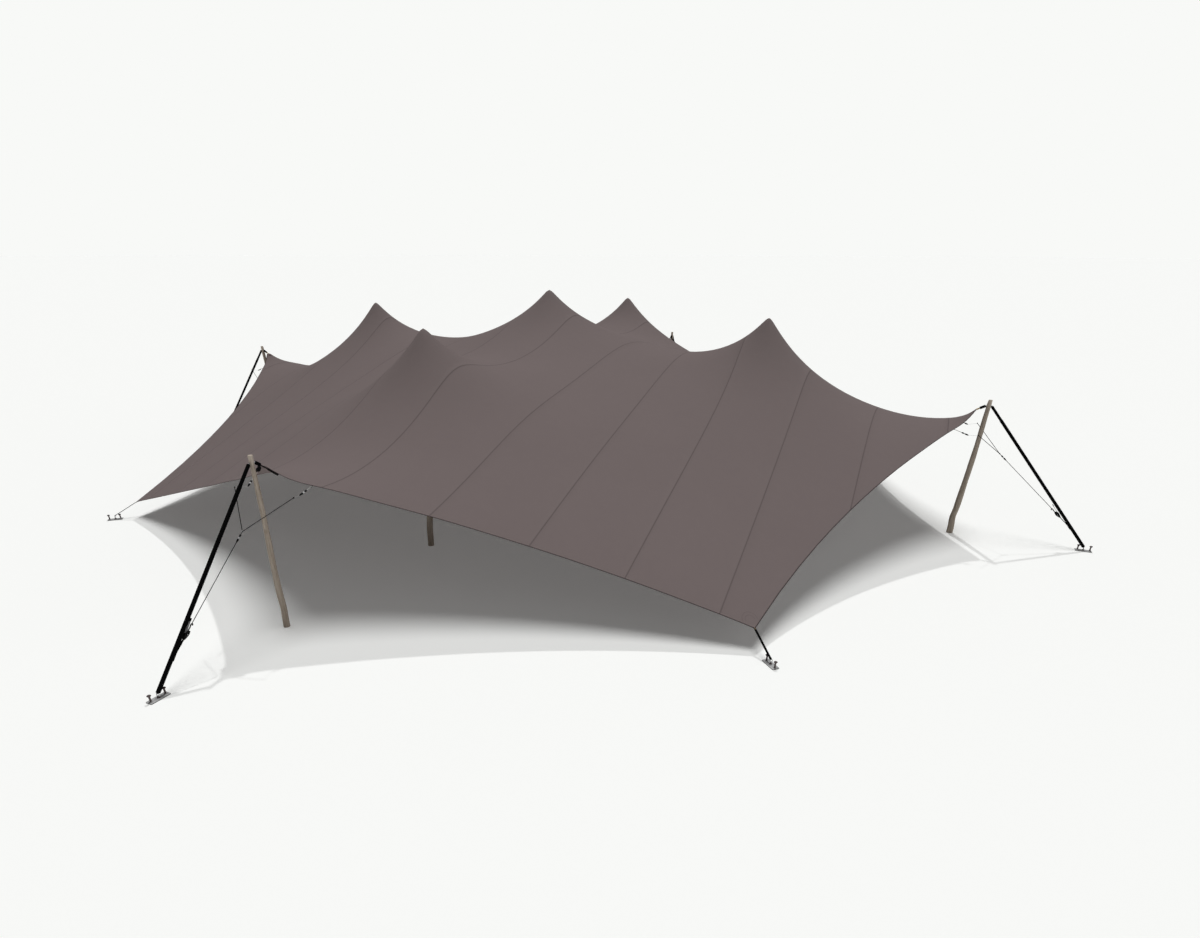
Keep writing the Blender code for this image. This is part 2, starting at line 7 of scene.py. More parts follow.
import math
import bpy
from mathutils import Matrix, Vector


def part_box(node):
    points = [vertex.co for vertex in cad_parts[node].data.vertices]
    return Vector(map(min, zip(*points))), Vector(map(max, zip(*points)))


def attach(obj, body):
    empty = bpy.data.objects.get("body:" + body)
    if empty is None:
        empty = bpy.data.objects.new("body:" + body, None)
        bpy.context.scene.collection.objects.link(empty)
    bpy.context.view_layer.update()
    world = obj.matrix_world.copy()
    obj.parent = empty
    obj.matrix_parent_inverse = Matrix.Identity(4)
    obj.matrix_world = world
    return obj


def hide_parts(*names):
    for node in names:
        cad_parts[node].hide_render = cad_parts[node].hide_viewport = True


bl_info = {
    "name": "Stretch Tent",
    "version": (1, 0, 0),
    "blender": (4, 5, 0),
    "location": "3D View > Sidebar > Tent",
    "description": "Canopy, poles, webbing, bridles and anchors of a stretch tent",
    "category": "Add Mesh",
}

import bmesh
import bpy
import numpy as np
from bpy.props import FloatProperty, FloatVectorProperty, IntProperty, PointerProperty
from mathutils import Matrix, Vector
from mathutils.bvhtree import BVHTree

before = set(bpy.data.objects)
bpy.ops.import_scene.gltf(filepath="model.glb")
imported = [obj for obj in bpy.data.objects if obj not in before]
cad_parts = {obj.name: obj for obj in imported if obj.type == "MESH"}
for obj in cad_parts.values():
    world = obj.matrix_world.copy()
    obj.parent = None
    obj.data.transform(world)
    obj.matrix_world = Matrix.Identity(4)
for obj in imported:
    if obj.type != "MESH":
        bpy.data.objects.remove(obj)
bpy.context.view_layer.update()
UP = Vector((0.0, 0.0, 1.0))
LEVEL = (1.0, 1.0, 0.0)
WHITE = (1.0, 1.0, 1.0, 1.0)
# Near black, painted onto upright steel faces as shade
UPRIGHT_SHADE_COLOR = (0.01, 0.01, 0.01, 1.0)

# Heights read from the frame
SIDE_HEIGHT = round(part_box("side_pole_front")[1].z, 3)
MIDDLE_PEAK_HEIGHT = round(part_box("canopy_middle")[1].z, 3)
KING_PEAK_HEIGHT = round(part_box("canopy_right_outer")[1].z, 3)

# Side poles, which lean outwards
SIDE_REACH_X = 8.61
SIDE_REACH_Y = 8.00
SIDE_LEAN_X = 0.355
SIDE_LEAN_Y = 0.23
SIDE_FOOT_RADIUS = 0.050
SIDE_NECK_RADIUS = 0.033
SIDE_HEAD_RADIUS = 0.036
SIDE_RIM_RADIUS = 0.031
SIDE_NECK_BELOW_TOP = 0.16
SIDE_FLARE_BELOW_TOP = 0.06
SIDE_HEAD_BELOW_TOP = 0.02
# Length of the paler band at a side pole's head
HEAD_BAND_LENGTH = 0.11
KINK_HEIGHT = 0.30
KINK_REACH = 0.13
KINK_SHARES = {"front": 0.35, "right": 1.0, "back": 0.6, "left": 0.8}
GIRTHS = {"front": 0.88, "right": 1.10, "back": 0.96, "left": 1.04}
SIDE_PHASE = 1.3
SIDE_PHASE_STEP = 2.1

# The pin through a side pole's neck, with an eye at each end
PIN_BELOW_TOP = 0.11
PIN_OVERHANG = 0.012
PIN_RADIUS = 0.0045
PIN_EYE_OVERHANG = 0.014
PIN_EYE_RADIUS = 0.010
PIN_EYE_BAR = 0.003

# King poles under the canopy
KING_REACH_X = 4.70
KING_REACH_Y = 4.37
KING_FOOT_OUT = 0.15
KING_RADIUS = 0.052
KING_CAP_RADIUS = 0.060
KING_CAP_LENGTH = 0.12
KING_CAP_LIP = 0.008
KING_CAP_PROUD = 0.001
KING_CAP_RINGS = (0.056, 0.048, 0.038, 0.026, 0.013, 0.004)
CAP_BELOW_CLOTH = 0.005
KING_PHASE = 0.7
KING_PHASE_STEP = 1.9

# How grown timber strays: waves over a pole's length, and the lip of its sawn head
SWAY_WAVE_X = 7.0
SWAY_WAVE_Y = 9.0
GIRTH_WAVE = 23.0
GIRTH_SHARE = 0.04
LUMP_SIZE = 0.09
CALM_FOOT = 5.0
CALM_HEAD = 6.0
KING_TAPER = 0.96
SAW_DEPTH = 0.0008
LIP_HEIGHT = 0.006
LIP_SHARE = 0.86

# Canopy outline and surface
TIP_GAP_X = 0.21
TIP_GAP_Y = 0.18
TIP_HEIGHT = 2.32
TIP_HALF_WIDTH = 0.050
CORNER_X = 5.99
CORNER_Y = 5.705
CORNER_HEIGHT = 0.31
EDGE_INWARD_FRONT = 0.32
EDGE_INWARD_SIDE = 0.35
EDGE_DROP = 0.12
EDGE_DROP_RUN = 0.020
EDGE_SAMPLES = 61
FINE_EDGE_SAMPLES = 241
EDGE_CROWDING = 1.5
PEAK_TIP_RADIUS = 0.05
PEAK_SPREAD = 0.611
PEAK_STEEPNESS = 0.875
PEAK_STEEP_REACH = 0.98
PEAK_WEIGHT = 30.0
FILM_OFFSET = 1.1
FILM_STEP = 7

# Seams and stitches: distances from a seam's middle line, and how dark they are
SEAM_COUNT = 7
SEAM_SHOULDER = 0.0015
SEAM_LAP = (0.003, 0.010)
SEAM_SHADE = 0.42
SEAM_DARKEST = 0.25
STITCH_ROW = 0.010
STITCH_LINE = (0.0006, 0.0016)
STITCH_SHADE = 0.32
# Painted shade rings near each low corner: radii, how far in their centre lies, line edges, shade
# and where they end
CORNER_ARCS = (0.065, 0.108)
CORNER_ARCS_INWARD = 0.085
ARC_LINE = (0.002, 0.005)
ARC_SHADE = 0.25
ARC_END = 0.02
TIP_PATCH = 0.055
PATCH_EDGE = 0.002

# Hem as (inwards, lift) stations, and the webbing under the tips and corners
HEM_ROLL = 0.0078
HEM_ROLL_EDGE = 1.3
HEM_INNER_EDGE = ((0.0, -0.0004), (-0.001, 0.0010))
HEM_FOLD = ((0.004, 0.0014), (-0.001, 0.0016), (-0.0045, 0.0004))
HEM_NOSE = -0.0060
UNDER_CLOTH = 0.004
TIP_LINK_SHARE = 0.38
LEG_REACH = 0.022
LEG_OVERHANG = 0.33
LEG_THICKNESS = 0.005
LEG_INSET = 0.9995
TIP_OVERHANG = 0.006
TIP_CORE_RADIUS = 0.006
TIP_LINK_GAP = 0.004
TIP_LEG_OVERLAP = 0.010
CORNER_LEG_TURN = 32.0
CORNER_LEG_RUN = (-0.004, 0.15)
CORNER_LEG_WIDTH = 0.025
CORNER_LEG_THICKNESS = 0.0025
BAND_THICKNESS = 0.0075
BAND_FROM_CORNER = 0.010
BAND_FROM_RING = 0.022
CORNER_LINK = (-0.006, 0.014, 0.0050)
CORNER_LOOP_LENGTH = 0.030
CORNER_LOOP_SHARE = 0.9
LOOP_THICKNESS = 0.003

# Anchors
ANCHOR_REACH_X = 10.37
ANCHOR_REACH_Y = 9.68
CORNER_ANCHOR_X = 6.27
CORNER_ANCHOR_Y = 5.98
PLATE_LENGTH = 0.25
PLATE_WIDTH = 0.10
PLATE_THICKNESS = 0.010
PLATE_CORNER = 0.010
PLATE_SOFT_EDGE = 0.0012
EYE_RADIUS = 0.0255
EYE_BAR_RADIUS = 0.0042
EYE_LIFT = 0.040
SLEEVE_OVER_EYE = 0.010
SLEEVE_TOP = 0.003
SLEEVE_SOFT_END = 0.16
SLEEVE_OVERLAP = 0.01
RING_LOOP_START = 0.03
RING_LOOP_SHARES = (1.0, 0.8)
PIN_LOOP_START = 0.01
PIN_LOOP_BAR = 0.004
PIN_LOOP_SHARES = (0.6, 0.5)
STAKE_OFFSET = 0.092
STAKE_HEIGHT = 0.105
STAKE_LEAN = 0.15
STAKE_PROFILE = (
    (0.011, 0.001), (0.011, STAKE_HEIGHT - 0.030), (0.013, STAKE_HEIGHT - 0.024),
    (0.020, STAKE_HEIGHT - 0.018), (0.0240, STAKE_HEIGHT - 0.013),
    (0.0230, STAKE_HEIGHT - 0.008), (0.017, STAKE_HEIGHT - 0.003), (0.008, STAKE_HEIGHT))
COLLAR_PROFILE = ((0.016, 0.010), (0.016, 0.013), (0.0135, 0.0145))
BOSS_PROFILE = ((0.017, 0.010), (0.0165, 0.018), (0.013, 0.027), (0.007, 0.031))

# Bridles: places are (outwards from the pole's head, to the side, height)
TAIL_HEIGHT = 0.455
TAIL_LENGTH = 0.160
RATCHET_LENGTH = 0.115
HOOK_LENGTH = 0.085
FORK_PLACE = (0.265, 0.0, 1.565)
BEND_PLACE = (-0.130, 0.520, 1.967)
CLAMP_PLACE = (-0.283, 0.456, 1.942)
HEM_ALONG = 0.085
FORK_RING_RADIUS = 0.010
FORK_RING_BAR = 0.0028

# A fitting on a cord, and the toggle at a bend, as (radius, along) profiles
FITTING_BELOW_FORK = 0.040
FITTING_LENGTH = 0.116
FITTING_BEAD = ((0.004, 0.0), (0.0110, 0.003), (0.0130, 0.014), (0.0110, 0.030), (0.006, 0.036))
FITTING_SLEEVE = ((0.006, 0.036), (0.0105, 0.038), (0.0105, 0.060), (0.006, 0.062))
FITTING_BARREL = (
    (0.006, 0.062), (0.0130, 0.066), (0.0130, 0.082), (0.008, 0.110), (0.004, FITTING_LENGTH))
TOGGLE_PROFILE = (
    (0.003, -0.011), (0.008, -0.007), (0.0095, 0.0), (0.008, 0.007), (0.003, 0.011))
TAB_WIDTH = 0.022
TAB_THICKNESS = 0.0025
TAB_OUTSIDE = 0.035
TAB_INSIDE = 0.012
HEM_LINK_START = 0.112
HEM_INSET = 0.999

# A ratchet's plates as (along, sideways, height, depth), and its turned parts' profiles
DRUM_ALONG = 0.065
PLATE_STATIONS = (
    (0.0, 0.021, -0.002, 0.018), (0.030, 0.022, -0.003, 0.038), (0.060, 0.022, -0.003, 0.056),
    (0.090, 0.022, -0.002, 0.056), (RATCHET_LENGTH, 0.021, 0.0, 0.036))
SIDE_PLATE_THICKNESS = 0.003
WHEEL_PROFILE = ((0.014, 0.0), (0.0155, 0.001), (0.0155, 0.004), (0.014, 0.005))
WHEEL_SIDEWAYS = 0.0275
WHEEL_HALF_WIDTH = 0.0025
DRUM_PROFILE = ((0.005, -0.034), (0.006, -0.033), (0.006, 0.033), (0.005, 0.034))
WOUND_PROFILE = ((0.021, -0.0185), (0.0235, -0.017), (0.0235, 0.017), (0.021, 0.0185))
BRIDGE_SIZE = (0.012, 0.042, 0.022)
BRIDGE_INSET = 0.008
BUCKLE_SIZE = (0.026, 0.030, 0.005)
BUCKLE_BELOW = 0.060
BUCKLE_HEIGHT = 0.006

# A ratchet's bent parts as (along, height): hook from the bridge, tail, lever from the drum
HOOK_PATH = (
    (-BRIDGE_INSET, 0.0), (0.020, 0.003), (0.045, 0.001), (0.065, -0.005), (0.080, -0.002),
    (0.0855, 0.006), (0.079, 0.016), (0.066, 0.019))
HOOK_RADIUS = 0.0075
HOOK_OVERLAP = 0.006
TAIL_PATH = (
    (-0.100, 0.0195), (-0.050, 0.0105), (0.0, 0.002), (TAIL_LENGTH * 0.5, 0.001),
    (TAIL_LENGTH, 0.003), (TAIL_LENGTH + 0.045, 0.020))
TAIL_WIDTH = 0.030
TAIL_THICKNESS = 0.010
LEVER_PATH = (
    (0.010, -0.018), (0.045, -0.024), (0.095, -0.034), (0.150, -0.047), (0.180, -0.054))
LEVER_WIDTH = 0.036
LEVER_THICKNESS = 0.006
GRIP_PATH = ((0.150, -0.047), (0.168, -0.051), (0.186, -0.0555))
GRIP_WIDTH = 0.040
GRIP_THICKNESS = 0.010

# The sun's direction of travel, and how steeply the fill lights come down
SUN_TRAVEL = (0.14, -0.515, -1.0)
FILL_DROP = 0.45

# The photograph's camera, in metres and radians
IMAGE_WIDTH = 1200
FOCAL_PIXELS = 755.659
SENSOR_WIDTH = 36.0
CAMERA_PLACE = (7.806, -14.514, 5.014)
CAMERA_YAW = 0.42767
CAMERA_PITCH = 0.28515
CAMERA_ROLL = 0.00215
CLIP_END = 2000.0

# Angles in degrees under which neighbouring faces are shaded smooth
HARD_ANGLE = 40.0
CLOTH_ANGLE = 50.0
RING_ANGLE = 60.0

# The weld of a ring: its length in bars, and how it swells
WELD_LENGTH = 3.0
WELD_SWELL = (1.0, 1.06, 1.25)


class Side:
    """Places of one side's pole, tip and anchor. Direction points out of the tent."""

    def __init__(self, label, direction, reach, lean, tip_gap, anchor_reach):
        self.label = label
        self.direction = Vector(direction)
        self.across = UP.cross(self.direction)
        self.on_y = direction[1] != 0.0
        self.foot = self.direction * (reach - lean)
        self.head = self.direction * reach + UP * SIDE_HEIGHT
        self.tip = self.direction * (reach - tip_gap) + UP * TIP_HEIGHT
        self.anchor = self.direction * anchor_reach

    def axis_at(self, height):
        return self.foot.lerp(self.head, height / SIDE_HEIGHT)

    def place(self, outwards, sideways, height):
        level = Vector((self.head.x, self.head.y, height))
        return level + self.direction * outwards + self.across * sideways


class Corner:
    """Places on the ground under one low corner of the canopy, and at its anchor."""

    def __init__(self, label, sign_x, sign_y):
        self.label = label
        self.ground = Vector((sign_x * CORNER_X, sign_y * CORNER_Y, 0.0))
        self.anchor = Vector((sign_x * CORNER_ANCHOR_X, sign_y * CORNER_ANCHOR_Y, 0.0))
        self.direction = (self.anchor - self.ground).normalized()
        self.across = UP.cross(self.direction)


SIDES = (
    Side("front", (0.0, -1.0, 0.0), SIDE_REACH_Y, SIDE_LEAN_Y, TIP_GAP_Y, ANCHOR_REACH_Y),
    Side("right", (1.0, 0.0, 0.0), SIDE_REACH_X, SIDE_LEAN_X, TIP_GAP_X, ANCHOR_REACH_X),
    Side("back", (0.0, 1.0, 0.0), SIDE_REACH_Y, SIDE_LEAN_Y, TIP_GAP_Y, ANCHOR_REACH_Y),
    Side("left", (-1.0, 0.0, 0.0), SIDE_REACH_X, SIDE_LEAN_X, TIP_GAP_X, ANCHOR_REACH_X),
)
CORNERS = (
    Corner("front_right", 1.0, -1.0),
    Corner("back_right", 1.0, 1.0),
    Corner("back_left", -1.0, 1.0),
    Corner("front_left", -1.0, -1.0),
)
KINGS = (
    ("middle", 0.0, 0.0, MIDDLE_PEAK_HEIGHT),
    ("front", 0.0, -KING_REACH_Y, KING_PEAK_HEIGHT),
    ("right", KING_REACH_X, 0.0, KING_PEAK_HEIGHT),
    ("back", 0.0, KING_REACH_Y, KING_PEAK_HEIGHT),
    ("left", -KING_REACH_X, 0.0, KING_PEAK_HEIGHT),
)
CANOPY_NODES = ["canopy_middle"] + [
    f"canopy_{half}_{part}" for half in ("left", "right") for part in ("inner", "outer", "edge")]


# Sizes and colours that a user would change

class StageSettings(bpy.types.PropertyGroup):
    sky_light: FloatProperty(
        name="Sky light", description="Strength of the even light from all round",
        default=0.02, min=0.0)
    overhead_light: FloatProperty(
        name="Overhead light", description="Strength of the broad light from above",
        default=1.73, min=0.0)
    overhead_angle: FloatProperty(
        name="Overhead size", description="Angle the overhead light spans",
        default=math.radians(30.0), min=0.0, unit="ROTATION")
    right_light: FloatProperty(
        name="Right light", description="Strength of the fill from +X", default=0.35, min=0.0)
    left_light: FloatProperty(
        name="Left light", description="Strength of the fill from -X", default=0.08, min=0.0)
    back_light: FloatProperty(
        name="Back light", description="Strength of the fill from +Y", default=0.0, min=0.0)
    front_light: FloatProperty(
        name="Front light", description="Strength of the fill from -Y", default=0.11, min=0.0)
    fill_angle: FloatProperty(
        name="Fill size", description="Angle that each fill light spans",
        default=math.radians(70.0), min=0.0, unit="ROTATION")
    sun_light: FloatProperty(
        name="Sun light", description="Strength of the sun", default=0.89, min=0.0)
    floor_glow: FloatProperty(
        name="Floor glow", description="Light the floor gives itself, in deep shade",
        default=0.108, min=0.0)
    sun_angle: FloatProperty(
        name="Sun size", description="Angle the sun spans, which softens its shadows",
        default=math.radians(1.2), min=0.0, unit="ROTATION")
    floor_color: FloatVectorProperty(
        name="Floor", description="Colour of the pale floor", subtype="COLOR", size=4,
        default=(0.934, 0.942, 0.926, 1.0), min=0.0, max=1.0)
    backdrop_color: FloatVectorProperty(
        name="Backdrop", description="Colour seen past the floor's end", subtype="COLOR", size=4,
        default=(0.939, 0.947, 0.930, 1.0), min=0.0, max=1.0)
    floor_radius: FloatProperty(
        name="Floor radius", description="How far the floor runs", default=500.0, unit="LENGTH")


class CanopySettings(bpy.types.PropertyGroup):
    fabric_color: FloatVectorProperty(
        name="Fabric", description="Colour of the stretch fabric", subtype="COLOR", size=4,
        default=(0.185, 0.151, 0.148, 1.0), min=0.0, max=1.0)
    hem_color: FloatVectorProperty(
        name="Hem", description="Colour of the bound edge", subtype="COLOR", size=4,
        default=(0.045, 0.034, 0.034, 1.0), min=0.0, max=1.0)
    patch_color: FloatVectorProperty(
        name="Tip patch", description="Colour of the patch at a raised tip", subtype="COLOR",
        size=4, default=(0.060, 0.034, 0.034, 1.0), min=0.0, max=1.0)
    thickness: FloatProperty(
        name="Thickness", description="Thickness of the fabric", default=0.003, unit="LENGTH")
    strip_width: FloatProperty(
        name="Strip width", description="Distance between two seams", default=1.23,
        unit="LENGTH")
    seam_width: FloatProperty(
        name="Seam width", description="Width of the lapped seam", default=0.024, unit="LENGTH")
    seam_height: FloatProperty(
        name="Seam height", description="How far a seam stands proud", default=0.0008,
        unit="LENGTH")
    cell: FloatProperty(
        name="Cell", description="Largest cell of the canopy's mesh", default=0.15,
        unit="LENGTH")
    hem_step: FloatProperty(
        name="Hem step", description="Distance between the hem's rings", default=0.05,
        unit="LENGTH")
    fine_cell: FloatProperty(
        name="Fine cell", description="Smallest cell, at the peaks and tips", default=0.018,
        unit="LENGTH")
    growth: FloatProperty(
        name="Growth", description="How fast cells grow away from a peak", default=0.17)
    hem_width: FloatProperty(
        name="Hem width", description="Width of the folded hem", default=0.030, unit="LENGTH")
    flat_stretch: FloatProperty(
        name="Stretch", description="Area of the pitched canopy over its flat cut",
        default=1.06)


class TimberSettings(bpy.types.PropertyGroup):
    pale_color: FloatVectorProperty(
        name="Pale wood", description="Colour between the grain lines", subtype="COLOR", size=4,
        default=(0.420, 0.360, 0.300, 1.0), min=0.0, max=1.0)
    dark_color: FloatVectorProperty(
        name="Dark wood", description="Colour of the grain lines", subtype="COLOR", size=4,
        default=(0.270, 0.220, 0.175, 1.0), min=0.0, max=1.0)
    # A paler colour over the top of each side pole
    head_band_color: FloatVectorProperty(
        name="Fresh wood", description="Colour of the cleaner wood at the heads",
        subtype="COLOR", size=4, default=(0.560, 0.485, 0.410, 1.0), min=0.0, max=1.0)
    ring_step: FloatProperty(
        name="Ring step", description="Distance between the rings of a pole", default=0.08,
        unit="LENGTH")
    sides: IntProperty(name="Sides", description="Faces round a pole", default=24, min=8)
    crook: FloatProperty(
        name="Crook", description="How far a pole strays from straight", default=0.006,
        unit="LENGTH")
    kink: FloatProperty(
        name="Kink", description="How far a pole strays just above its foot", default=0.022,
        unit="LENGTH")
    lumps: FloatProperty(
        name="Lumps", description="Depth of the bumps under the bark", default=0.003,
        unit="LENGTH")


class WebbingSettings(bpy.types.PropertyGroup):
    color: FloatVectorProperty(
        name="Webbing", description="Colour of the black webbing", subtype="COLOR", size=4,
        default=(0.0015, 0.0015, 0.0017, 1.0), min=0.0, max=1.0)
    link_color: FloatVectorProperty(
        name="Link", description="Colour of the pale link at a tip", subtype="COLOR", size=4,
        default=(0.470, 0.350, 0.200, 1.0), min=0.0, max=1.0)
    sleeve_radius: FloatProperty(
        name="Sleeve radius", description="Radius of a side strap's padded sleeve",
        default=0.027, unit="LENGTH")
    slim_radius: FloatProperty(
        name="Slim radius", description="Radius of the sleeve's upper stretch", default=0.0237,
        unit="LENGTH")
    slim_length: FloatProperty(
        name="Slim length", description="Length of the sleeve's upper stretch", default=0.29,
        unit="LENGTH")
    loop_length: FloatProperty(
        name="Loop length", description="Flat webbing between a sleeve and its ring",
        default=0.006, unit="LENGTH")
    width: FloatProperty(
        name="Width", description="Width of the sewn legs under a tip", default=0.062,
        unit="LENGTH")
    narrow_width: FloatProperty(
        name="Narrow width", description="Width of the loops", default=0.036, unit="LENGTH")
    tip_radius: FloatProperty(
        name="Tip radius", description="Radius of the short webbing at a tip", default=0.023,
        unit="LENGTH")
    link_radius: FloatProperty(
        name="Link radius", description="Radius of the pale link at a tip", default=0.013,
        unit="LENGTH")
    corner_width: FloatProperty(
        name="Corner width", description="Width of a corner strap", default=0.032,
        unit="LENGTH")


class BridleSettings(bpy.types.PropertyGroup):
    line_color: FloatVectorProperty(
        name="Line", description="Colour of the thin dark line", subtype="COLOR", size=4,
        default=(0.006, 0.006, 0.0065, 1.0), min=0.0, max=1.0)
    pale_color: FloatVectorProperty(
        name="Pale cord", description="Colour of the pale cord at the clamps",
        subtype="COLOR", size=4, default=(0.450, 0.450, 0.440, 1.0), min=0.0, max=1.0)
    line_radius: FloatProperty(
        name="Line radius", description="Radius of the thin line", default=0.0048,
        unit="LENGTH")
    cord_radius: FloatProperty(
        name="Cord radius", description="Radius of the thin pale cord", default=0.0015,
        unit="LENGTH")


class SteelSettings(bpy.types.PropertyGroup):
    plate_color: FloatVectorProperty(
        name="Plate", description="Colour of the galvanised steel", subtype="COLOR", size=4,
        default=(0.420, 0.420, 0.420, 1.0), min=0.0, max=1.0)
    stake_color: FloatVectorProperty(
        name="Stake", description="Colour of the bare stakes", subtype="COLOR", size=4,
        default=(0.085, 0.062, 0.062, 1.0), min=0.0, max=1.0)
    bright_color: FloatVectorProperty(
        name="Bright", description="Colour of the plated lever", subtype="COLOR", size=4,
        default=(0.550, 0.550, 0.560, 1.0), min=0.0, max=1.0)
    black_color: FloatVectorProperty(
        name="Black", description="Colour of the blackened parts", subtype="COLOR", size=4,
        default=(0.0030, 0.0030, 0.0033, 1.0), min=0.0, max=1.0)


# Node helpers

SOCKET_KINDS = {
    "Vector": "NodeSocketVector",
    "Color": "NodeSocketColor",
    "Pale": "NodeSocketColor",
    "Dark": "NodeSocketColor",
}


def fill_sockets(tree, node, sockets):
    """Link or set a node's inputs by name or number."""
    for key, value in sockets.items():
        if isinstance(value, bpy.types.NodeSocket):
            tree.links.new(value, node.inputs[key])
        else:
            node.inputs[key].default_value = value


def add_node(tree, kind, sockets, **settings):
    """Add a node, set its settings and fill its sockets."""
    node = tree.nodes.new(kind)
    for key, value in settings.items():
        setattr(node, key, value)
    fill_sockets(tree, node, sockets)
    return node


def math_node(tree, operation, first, second=0.0, third=0.0):
    node = add_node(
        tree, "ShaderNodeMath", {0: first, 1: second, 2: third}, operation=operation)
    return node.outputs[0]


def blend_colors(tree, factor, first, second, blend_type="MIX"):
    node = add_node(
        tree, "ShaderNodeMix", {0: factor, 6: first, 7: second},
        data_type="RGBA", blend_type=blend_type)
    return node.outputs[2]


def ramp(tree, value, low, high, low_out=0.0, high_out=1.0):
    node = add_node(
        tree, "ShaderNodeMapRange",
        {"Value": value, "From Min": low, "From Max": high, "To Min": low_out,
         "To Max": high_out}, interpolation_type="SMOOTHSTEP")
    return node.outputs["Result"]


def noise(tree, vector, scale, detail):
    node = add_node(
        tree, "ShaderNodeTexNoise", {"Vector": vector, "Scale": scale, "Detail": detail})
    return node.outputs["Fac"]


def gained(tree, color, gain):
    """A colour made lighter or darker by a number."""
    value = add_node(tree, "ShaderNodeCombineXYZ", {0: gain, 1: gain, 2: gain}).outputs[0]
    return blend_colors(tree, 1.0, color, value, "MULTIPLY")


def split_axis(tree, place, axis):
    return add_node(tree, "ShaderNodeSeparateXYZ", {0: place}).outputs[axis]


def new_group(name, inputs, outputs):
    """A shader node group with named sockets. Returns its tree, its inputs and its outputs."""
    tree = bpy.data.node_groups.new(name, "ShaderNodeTree")
    for labels, way in ((inputs, "INPUT"), (outputs, "OUTPUT")):
        for label in labels:
            kind = SOCKET_KINDS.get(label, "NodeSocketFloat")
            tree.interface.new_socket(label, in_out=way, socket_type=kind)
    start = tree.nodes.new("NodeGroupInput")
    end = tree.nodes.new("NodeGroupOutput")
    return tree, start.outputs, end.inputs


def tint_group():
    """Slow tonal drift and fine mottling over a colour."""
    found = bpy.data.node_groups.get("tint_drift")
    if found:
        return found
    tree, start, end = new_group(
        "tint_drift", ("Vector", "Color", "Scale", "Amount"), ("Color", "Mask"))
    slow = noise(tree, start["Vector"], start["Scale"], 3.0)
    fine_scale = math_node(tree, "MULTIPLY", start["Scale"], 9.0)
    fine = noise(tree, start["Vector"], fine_scale, 4.0)
    mixed = math_node(tree, "MULTIPLY_ADD", fine, 0.4, math_node(tree, "MULTIPLY", slow, 0.6))
    shift = math_node(
        tree, "MULTIPLY", math_node(tree, "SUBTRACT", mixed, 0.5), start["Amount"])
    color = gained(tree, start["Color"], math_node(tree, "ADD", 1.0, shift))
    tree.links.new(color, end["Color"])
    tree.links.new(mixed, end["Mask"])
    return tree


def weave_group():
    """Crossing threads, pitched in metres, on a flat UV map laid out in metres."""
    found = bpy.data.node_groups.get("crossed_threads")
    if found:
        return found
    tree, start, end = new_group(
        "crossed_threads", ("Vector", "Color", "Pitch", "Contrast"), ("Color", "Height"))
    turns = math_node(tree, "DIVIDE", math.tau, start["Pitch"])
    warp, weft = [
        math_node(tree, "SINE",
                  math_node(tree, "MULTIPLY", split_axis(tree, start["Vector"], axis), turns))
        for axis in (0, 1)]
    crossed = math_node(tree, "MULTIPLY", warp, weft)
    height = math_node(tree, "MULTIPLY_ADD", crossed, 0.5, 0.5)
    gain = math_node(tree, "ADD", 1.0, math_node(tree, "MULTIPLY", crossed, start["Contrast"]))
    tree.links.new(gained(tree, start["Color"], gain), end["Color"])
    tree.links.new(height, end["Height"])
    return tree


def grain_group():
    """Long wood grain: streaks along the piece's own Z, with a few dark knots."""
    found = bpy.data.node_groups.get("wood_grain")
    if found:
        return found
    tree, start, end = new_group(
        "wood_grain", ("Vector", "Pale", "Dark", "Streak"), ("Color", "Height"))
    stretched, squat = [
        add_node(tree, "ShaderNodeMapping",
                 {"Vector": start["Vector"], "Scale": (1.0, 1.0, share)}).outputs[0]
        for share in (0.05, 0.45)]
    broad = noise(tree, stretched, start["Streak"], 3.0)
    fine = noise(tree, stretched, math_node(tree, "MULTIPLY", start["Streak"], 4.5), 4.0)
    lines = math_node(tree, "MULTIPLY_ADD", fine, 0.45, math_node(tree, "MULTIPLY", broad, 0.55))
    color = blend_colors(tree, ramp(tree, lines, 0.30, 0.66), start["Dark"], start["Pale"])
    cells = add_node(tree, "ShaderNodeTexVoronoi", {"Vector": squat, "Scale": 4.5})
    knot = ramp(tree, cells.outputs["Distance"], 0.03, 0.11, 1.0, 0.0)
    color = blend_colors(tree, math_node(tree, "MULTIPLY", knot, 0.7), color, start["Dark"])
    height = math_node(tree, "SUBTRACT", lines, math_node(tree, "MULTIPLY", knot, 0.5))
    tree.links.new(color, end["Color"])
    tree.links.new(height, end["Height"])
    return tree


def new_material(name, roughness, metallic=0.0, specular=0.5):
    """A material with a Principled shader. Returns the material, its tree and the shader."""
    material = bpy.data.materials.new(name)
    material.use_nodes = True
    tree = material.node_tree
    shader = tree.nodes["Principled BSDF"]
    shader.inputs["Roughness"].default_value = roughness
    shader.inputs["Metallic"].default_value = metallic
    shader.inputs["Specular IOR Level"].default_value = specular
    return material, tree, shader


def add_group(tree, group, sockets):
    node = tree.nodes.new("ShaderNodeGroup")
    node.node_tree = group
    fill_sockets(tree, node, sockets)
    return node


def set_bump(tree, shader, height, strength, distance):
    bump = add_node(
        tree, "ShaderNodeBump", {"Height": height, "Strength": strength, "Distance": distance})
    tree.links.new(bump.outputs["Normal"], shader.inputs["Normal"])


def object_place(tree):
    return tree.nodes.new("ShaderNodeTexCoord").outputs["Object"]


def seam_color(settings):
    """The fabric's colour in the shade of a seam."""
    return tuple(part * SEAM_DARKEST for part in settings.fabric_color[:3]) + (1.0,)


def distance_from(tree, value, place):
    return math_node(tree, "ABSOLUTE", math_node(tree, "SUBTRACT", value, place))


